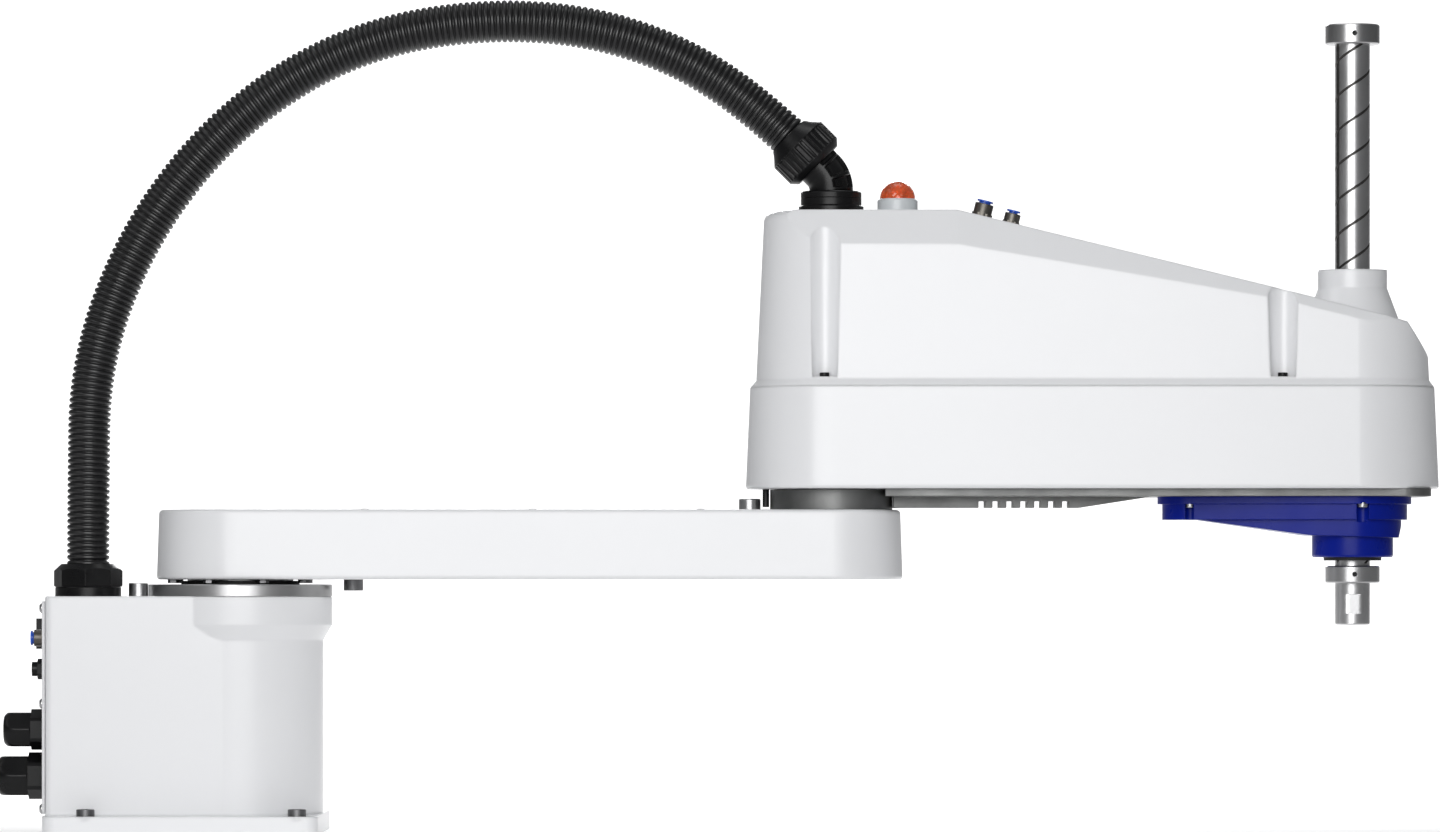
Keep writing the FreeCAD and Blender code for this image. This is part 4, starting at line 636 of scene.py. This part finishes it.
def elbow(material):
    """The elbow: a smooth inner side, and outside a web and cross ribs with recesses between them."""
    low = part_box("elbow_base_ring")[1].z + ELBOW_GAP
    centre = Vector((ELBOW_X - ELBOW_BEND, 0, low + ELBOW_NECK))
    bend_length = ELBOW_BEND * ELBOW_ANGLE
    bend_end = ELBOW_NECK + bend_length
    whole = bend_end + ELBOW_SPOUT
    rib_at = [
        FOOT_HEIGHT + FIRST_RIB_GAP,
        ELBOW_NECK + bend_length * MIDDLE_RIB_SHARE,
        bend_end + LAST_RIB_GAP,
    ]

    def frame_at(distance):
        """The middle, the outward way and the way ahead at a distance along the elbow."""
        turn = min(max(distance - ELBOW_NECK, 0), bend_length) / ELBOW_BEND
        out = Vector((math.cos(turn), 0, math.sin(turn)))
        along = Vector((-math.sin(turn), 0, math.cos(turn)))
        extra = distance - ELBOW_NECK - turn * ELBOW_BEND
        return centre + out * ELBOW_BEND + along * extra, out, along

    def radius(distance, angle):
        if distance < FOOT_HEIGHT:
            rounded = smooth(FOOT_HEIGHT - FOOT_ROUND_HEIGHT, FOOT_HEIGHT, distance)
            return FOOT_RADIUS - FOOT_ROUND * rounded
        web = smooth(*WEB_HALF, abs(math.sin(angle)) * ELBOW_RADIUS)
        outer = smooth(*OUTER_SIDE, math.cos(angle))
        clear = min(smooth(*RIB_HALF, abs(distance - at)) for at in rib_at)
        return ELBOW_RADIUS - ELBOW_RECESS * web * outer * clear

    rings = []
    for i in range(ELBOW_ROWS + 1):
        distance = whole * i / ELBOW_ROWS
        middle, out, _ = frame_at(distance)
        ring = []
        for k in range(ELBOW_SIDES):
            angle = 2 * math.pi * k / ELBOW_SIDES
            way = out * math.cos(angle) + ACROSS * math.sin(angle)
            ring.append(middle + way * radius(distance, angle))
        rings.append(ring)
    piece = skin(rings, "ribbed_elbow", material=material)
    stand_for(piece, "hose_elbow", "black_plastic", "elbow_fitting")
    middle, _, along = frame_at(bend_end)
    return middle, along


NUT_RIM = 0.0236
NUT_BORE = 0.0155
NUT_BORE_EASE = 0.0003
NUT_SEAT = 0.005
NUT_SIDES = 384
NUT_PADS = 8
PAD_SHARE = 0.74
PAD_GAP_DEPTH = 0.0013
PAD_GAP_RAMP = 0.22
RIDGES_PER_PAD = 3
RIDGE_DEPTH = 0.0009
RIDGE_SIDES = (0.2, -0.4)

# heights between which the grip fades in at the nut's seat and out at its mouth, and how near the rim
# the outside has to be to carry it
GRIP_IN = (0.0044, 0.0058)
GRIP_OUT = (0.0195, 0.0208)
GRIP_REACH = 0.001


def elbow_nut(middle, way, material):
    """The clamp nut on the elbow, with pads of fine grip ridges."""
    # how far in from the rim each point of the outside is, and its height
    outside = [
        (0.0044, 0), (0.0038, 0.0004), (0.0008, 0.0036), (0, 0.0045), (0, 0.0050), (0, 0.0058),
        (0, 0.0195), (0, 0.0203), (0, 0.0208), (0.0006, 0.0215), (0.0045, 0.0258), (0.0052, 0.0266),
        (0.0074, 0.0296), (0.0078, 0.0300),
    ]
    profile = [(NUT_BORE + NUT_BORE_EASE, 0)]
    profile += [(NUT_RIM - inward, height) for inward, height in outside]
    profile.append((NUT_BORE, outside[-1][1]))

    def grip(radius, height, angle):
        if radius < NUT_RIM - GRIP_REACH:
            return radius
        zone = smooth(*GRIP_IN, height) * (1 - smooth(*GRIP_OUT, height))
        share = (angle / (2 * math.pi) * NUT_PADS) % 1
        if share > PAD_SHARE:
            edge = min(share - PAD_SHARE, 1 - share) / (1 - PAD_SHARE)
            return radius - PAD_GAP_DEPTH * zone * smooth(0, PAD_GAP_RAMP, edge)
        ridge = math.cos(2 * math.pi * share / PAD_SHARE * RIDGES_PER_PAD)
        return radius - RIDGE_DEPTH * zone * smooth(*RIDGE_SIDES, ridge)

    seat = middle + way * NUT_SEAT
    piece = turned("ribbed_clamp_nut", profile, NUT_SIDES, seat, way, grip, material=material)
    stand_for(piece, "hose_elbow", "black_plastic", "elbow_hose_nut")


# height, radius and length of each gland, and the share of the length that its dome nut takes
GLANDS = [(0.0740, 0.0142, 0.0306), (0.0409, 0.0163, 0.0355)]
CAP_SHARE = 0.64
GLAND_SIDES = 144
LIP_WIDTH = 0.0065
LIP_CHAMFER = 0.0008

# a dome nut's outside as shares of its radius and height, the flats' share and where they end
DOME = [
    (0.90, 0), (0.955, 0.03), (0.97, 0.07), (0.97, 0.30), (0.97, 0.52), (0.965, 0.60), (0.945, 0.70),
    (0.905, 0.79), (0.845, 0.87), (0.765, 0.94), (0.70, 0.98), (0.63, 1),
]
FLATS_SHARE = 0.985
FLATS_END = 0.69


def gland_caps(material):
    """Both glands' dome nuts: six flats that run out into a dome, with a soft lip at the cable's hole."""
    y = centre_of("cable_gland_caps").y
    for number, (z, full, length) in enumerate(GLANDS, start=1):
        tall = length * CAP_SHARE
        hole = full - LIP_WIDTH
        profile = [(hole, 0)]
        profile += [(full * share, tall * height) for share, height in DOME]
        profile += [(hole + LIP_CHAMFER, tall), (hole, tall - LIP_CHAMFER)]

        def flats(radius, height, angle, full=full):
            if radius < full * FLATS_END:
                return radius
            flat = math.cos(math.pi / 6) / math.cos(around(angle, math.pi / 3)) * full * FLATS_SHARE
            return min(radius, flat)

        at = (PANEL_X - (length - tall), y, z)
        name = "gland_cap_%d" % number
        piece = turned(name, profile, GLAND_SIDES, at, (-1, 0, 0), flats, material=material)
        stand_for(piece, "base", "black_plastic")
    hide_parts("cable_gland_caps")


LENS_ROWS = 9
LENS_SIDES = 18
LENS_WALL = 0.0018

# the dome's top stands for this row, a little above the last one
LENS_TOP_ROW = LENS_ROWS + 0.6


def dome_points(at, radius, turned_by=0.0):
    """Rows of points from a dome's rim up, every other row turned by a share of a step, then its top."""
    points = []
    for row in range(LENS_ROWS + 1):
        lift = math.pi / 2 * (row / LENS_TOP_ROW)
        shift = turned_by * (row % 2)
        for k in range(LENS_SIDES):
            angle = 2 * math.pi * (k + shift) / LENS_SIDES
            out = Vector((math.cos(lift) * math.cos(angle), math.cos(lift) * math.sin(angle), math.sin(lift)))
            points.append(at + out * radius)
    points.append(at + UP * radius)
    return points


def lens(material):
    """The lamp's dome: diamond facets outside, smooth inside."""
    low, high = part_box("lamp_lens")
    radius = high.z - low.z
    at = Vector((centre_of("lamp_lens").x, 0, low.z))
    outer_points = dome_points(at, radius, turned_by=0.5)
    inner_points = dome_points(at, radius - LENS_WALL)
    top = len(outer_points) - 1
    inner = len(outer_points)
    inner_top = inner + len(inner_points) - 1
    last_row = LENS_ROWS * LENS_SIDES
    steps = [(k, (k + 1) % LENS_SIDES) for k in range(LENS_SIDES)]
    faces = []
    for row in range(LENS_ROWS):
        for k, m in steps:
            a, b = row * LENS_SIDES + k, row * LENS_SIDES + m
            c, d = a + LENS_SIDES, b + LENS_SIDES
            if row % 2:
                faces += [(a, b, d), (a, d, c)]
            else:
                faces += [(a, b, c), (b, d, c)]
            faces.append((inner + b, inner + a, inner + c, inner + d))
    for k, m in steps:
        faces.append((last_row + k, last_row + m, top))
        faces.append((inner + last_row + m, inner + last_row + k, inner_top))
        faces.append((m, k, inner + k, inner + m))
    mesh = bpy.data.meshes.new("faceted_lens")
    mesh.from_pydata(outer_points + inner_points, [], faces)
    piece = link(mesh, "faceted_lens", material=material, sharp=1)
    stand_for(piece, "arm_2", "orange_lens", "lamp_lens")


# the contacts' columns, as places across in pitches and numbers of contacts
CONTACT_COLUMNS = ((-1, 7), (0, 6), (1, 7))
COLUMN_PITCH = 0.0028
CONTACT_PITCH = 0.0023
CONTACT_RADIUS = 0.0008
CONTACT_BORE = 0.00045
CONTACT_DEPTH = 0.0006
CONTACT_STAND = 0.0002
CONTACT_SIDES = 12


def contacts(material):
    """Three staggered columns of round contacts in the signal connector's face."""
    face_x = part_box("signal_connector")[0].x
    middle = centre_of("signal_connector")
    profile = [
        (CONTACT_BORE, 0),
        (CONTACT_RADIUS, 0),
        (CONTACT_RADIUS, CONTACT_DEPTH),
        (CONTACT_BORE, CONTACT_DEPTH),
    ]
    made = []
    for column, rows in CONTACT_COLUMNS:
        y = middle.y + column * COLUMN_PITCH
        for row in range(rows):
            z = middle.z + (row - (rows - 1) / 2) * CONTACT_PITCH
            at = (face_x - CONTACT_STAND, y, z)
            made.append(turned("contact", profile, CONTACT_SIDES, at, (1, 0, 0), material=material))
    bpy.ops.object.select_all(action="DESELECT")
    for piece in made:
        piece.select_set(True)
    bpy.context.view_layer.objects.active = made[0]
    bpy.ops.object.join()
    made[0].name = "connector_contacts"
    stand_for(made[0], "base", "nickel")


# ---------------------------------------------------------------- studio


def stage_mesh(name, corners, material):
    """A flat surface of the stage."""
    mesh = bpy.data.meshes.new(name)
    mesh.from_pydata(corners, [], [tuple(range(len(corners)))])
    mesh.materials.append(material)
    thing = bpy.data.objects.new(name, mesh)
    bpy.context.scene.collection.objects.link(thing)


def area_light(name, at, aim, width, height, power):
    """A soft rectangular light that the camera doesn't see."""
    data = bpy.data.lights.new(name, "AREA")
    data.shape = "RECTANGLE"
    data.size = width
    data.size_y = height
    data.energy = power
    lamp = bpy.data.objects.new(name, data)
    lamp.visible_camera = False
    lamp.location = at
    lamp.rotation_euler = (Vector(aim) - Vector(at)).to_track_quat("-Z", "Y").to_euler()
    bpy.context.scene.collection.objects.link(lamp)


SKY_COLOUR = (0.96, 0.98, 1, 1)
SKY_HEIGHTS = (0.0, 0.9)
SKY_STRENGTHS = (0.07, 0.3)


def soft_sky():
    """A dim room, a little lighter above than at the sides."""
    world = bpy.data.worlds.new("Sky")
    world.use_nodes = True
    tree = world.node_tree
    parts = tree.nodes.new("ShaderNodeSeparateXYZ")
    place = tree.nodes.new("ShaderNodeTexCoord")
    tree.links.new(place.outputs["Generated"], parts.inputs[0])
    lift = map_range(tree, SKY_HEIGHTS, SKY_STRENGTHS)
    tree.links.new(parts.outputs["Z"], lift.inputs["Value"])
    sky = tree.nodes["Background"]
    sky.inputs["Color"].default_value = SKY_COLOUR
    tree.links.new(lift.outputs["Result"], sky.inputs["Strength"])
    bpy.context.scene.world = world


STAGE_REACH = 13
WALL_Y = 12.0
WALL_HEIGHT = 8.0

# the ellipsoids that glow on the floor and on the wall, and how the glow falls at their edge; the floor's
# grey round the robot is painted soft shade
GLOW_CENTRE = (0.4, WALL_Y, 0.3)
FLOOR_GLOW = (4.0, WALL_Y + 0.1, 1.0)
WALL_GLOW = (2.0, 1.0, 3.5)
GLOW_EDGE = (1.0, 1.08)
GLOW_STRENGTHS = (1.0, 0.15)


def sweep(name, colour, glow):
    """A pale surface that glows white behind the robot and fades to plain grey round it; on the floor this
    grey round the robot is painted soft shade.
    """
    paint = Paint(name, colour, 0.7, specular=0.1)
    paint.mottle(3, 0.01)
    paint.set("Emission Color", (1, 1, 1, 1))
    place = paint.node("ShaderNodeMapping", vector_type="TEXTURE")
    place.inputs["Location"].default_value = GLOW_CENTRE
    place.inputs["Scale"].default_value = glow
    paint.link(paint.place, place.inputs["Vector"])
    length = paint.node("ShaderNodeVectorMath", operation="LENGTH")
    paint.link(place.outputs["Vector"], length.inputs[0])
    fade = map_range(paint.tree, GLOW_EDGE, GLOW_STRENGTHS)
    fade.interpolation_type = "SMOOTHSTEP"
    paint.link(length.outputs["Value"], fade.inputs["Value"])
    paint.link(fade.outputs["Result"], paint.shader.inputs["Emission Strength"])
    return paint.material


def studio():
    """A pale floor and wall, a wide soft light in front, one behind, one at the upper left and one above."""
    soft_sky()
    bpy.context.scene.view_settings.view_transform = "Standard"
    left, right = -STAGE_REACH, STAGE_REACH
    floor_corners = [(left, left, 0), (right, left, 0), (right, WALL_Y, 0), (left, WALL_Y, 0)]
    # the floor's glow fades to grey round the robot: painted soft shade under and around it
    stage_mesh("floor", floor_corners, sweep("floor", (0.50, 0.50, 0.505), FLOOR_GLOW))
    wall_ends = [(left, 0), (right, 0), (right, WALL_HEIGHT), (left, WALL_HEIGHT)]
    wall_corners = [(x, WALL_Y, z) for x, z in wall_ends]
    stage_mesh("wall", wall_corners, sweep("wall", (0.50, 0.50, 0.50), WALL_GLOW))
    area_light("front", at=(0.12, -3.0, 1.0), aim=(0.12, 0, 0.85), width=2.1, height=1.6, power=59)
    area_light("upper_left", at=(-2.1, -1.0, 2.4), aim=(0.3, 0, 0.2), width=1.6, height=1.4, power=9)
    area_light("rear", at=(0.6, 4.5, 1.9), aim=(0.35, 0, 0.25), width=2.2, height=1.4, power=60)
    area_light("top", at=(0.5, 0.4, 2.8), aim=(0.45, 0, 0.2), width=1.6, height=1.0, power=8)


# ---------------------------------------------------------------- build

camera()
materials = dress()
hose(materials[hose_plastic])
shaft(materials[ground_steel], painted_shade_groove().material)
elbow_end, elbow_way = elbow(materials[black_plastic])
elbow_nut(elbow_end, elbow_way, materials[black_plastic])
gland_caps(materials[black_plastic])
lens(materials[orange_lens])
contacts(materials[nickel])
studio()
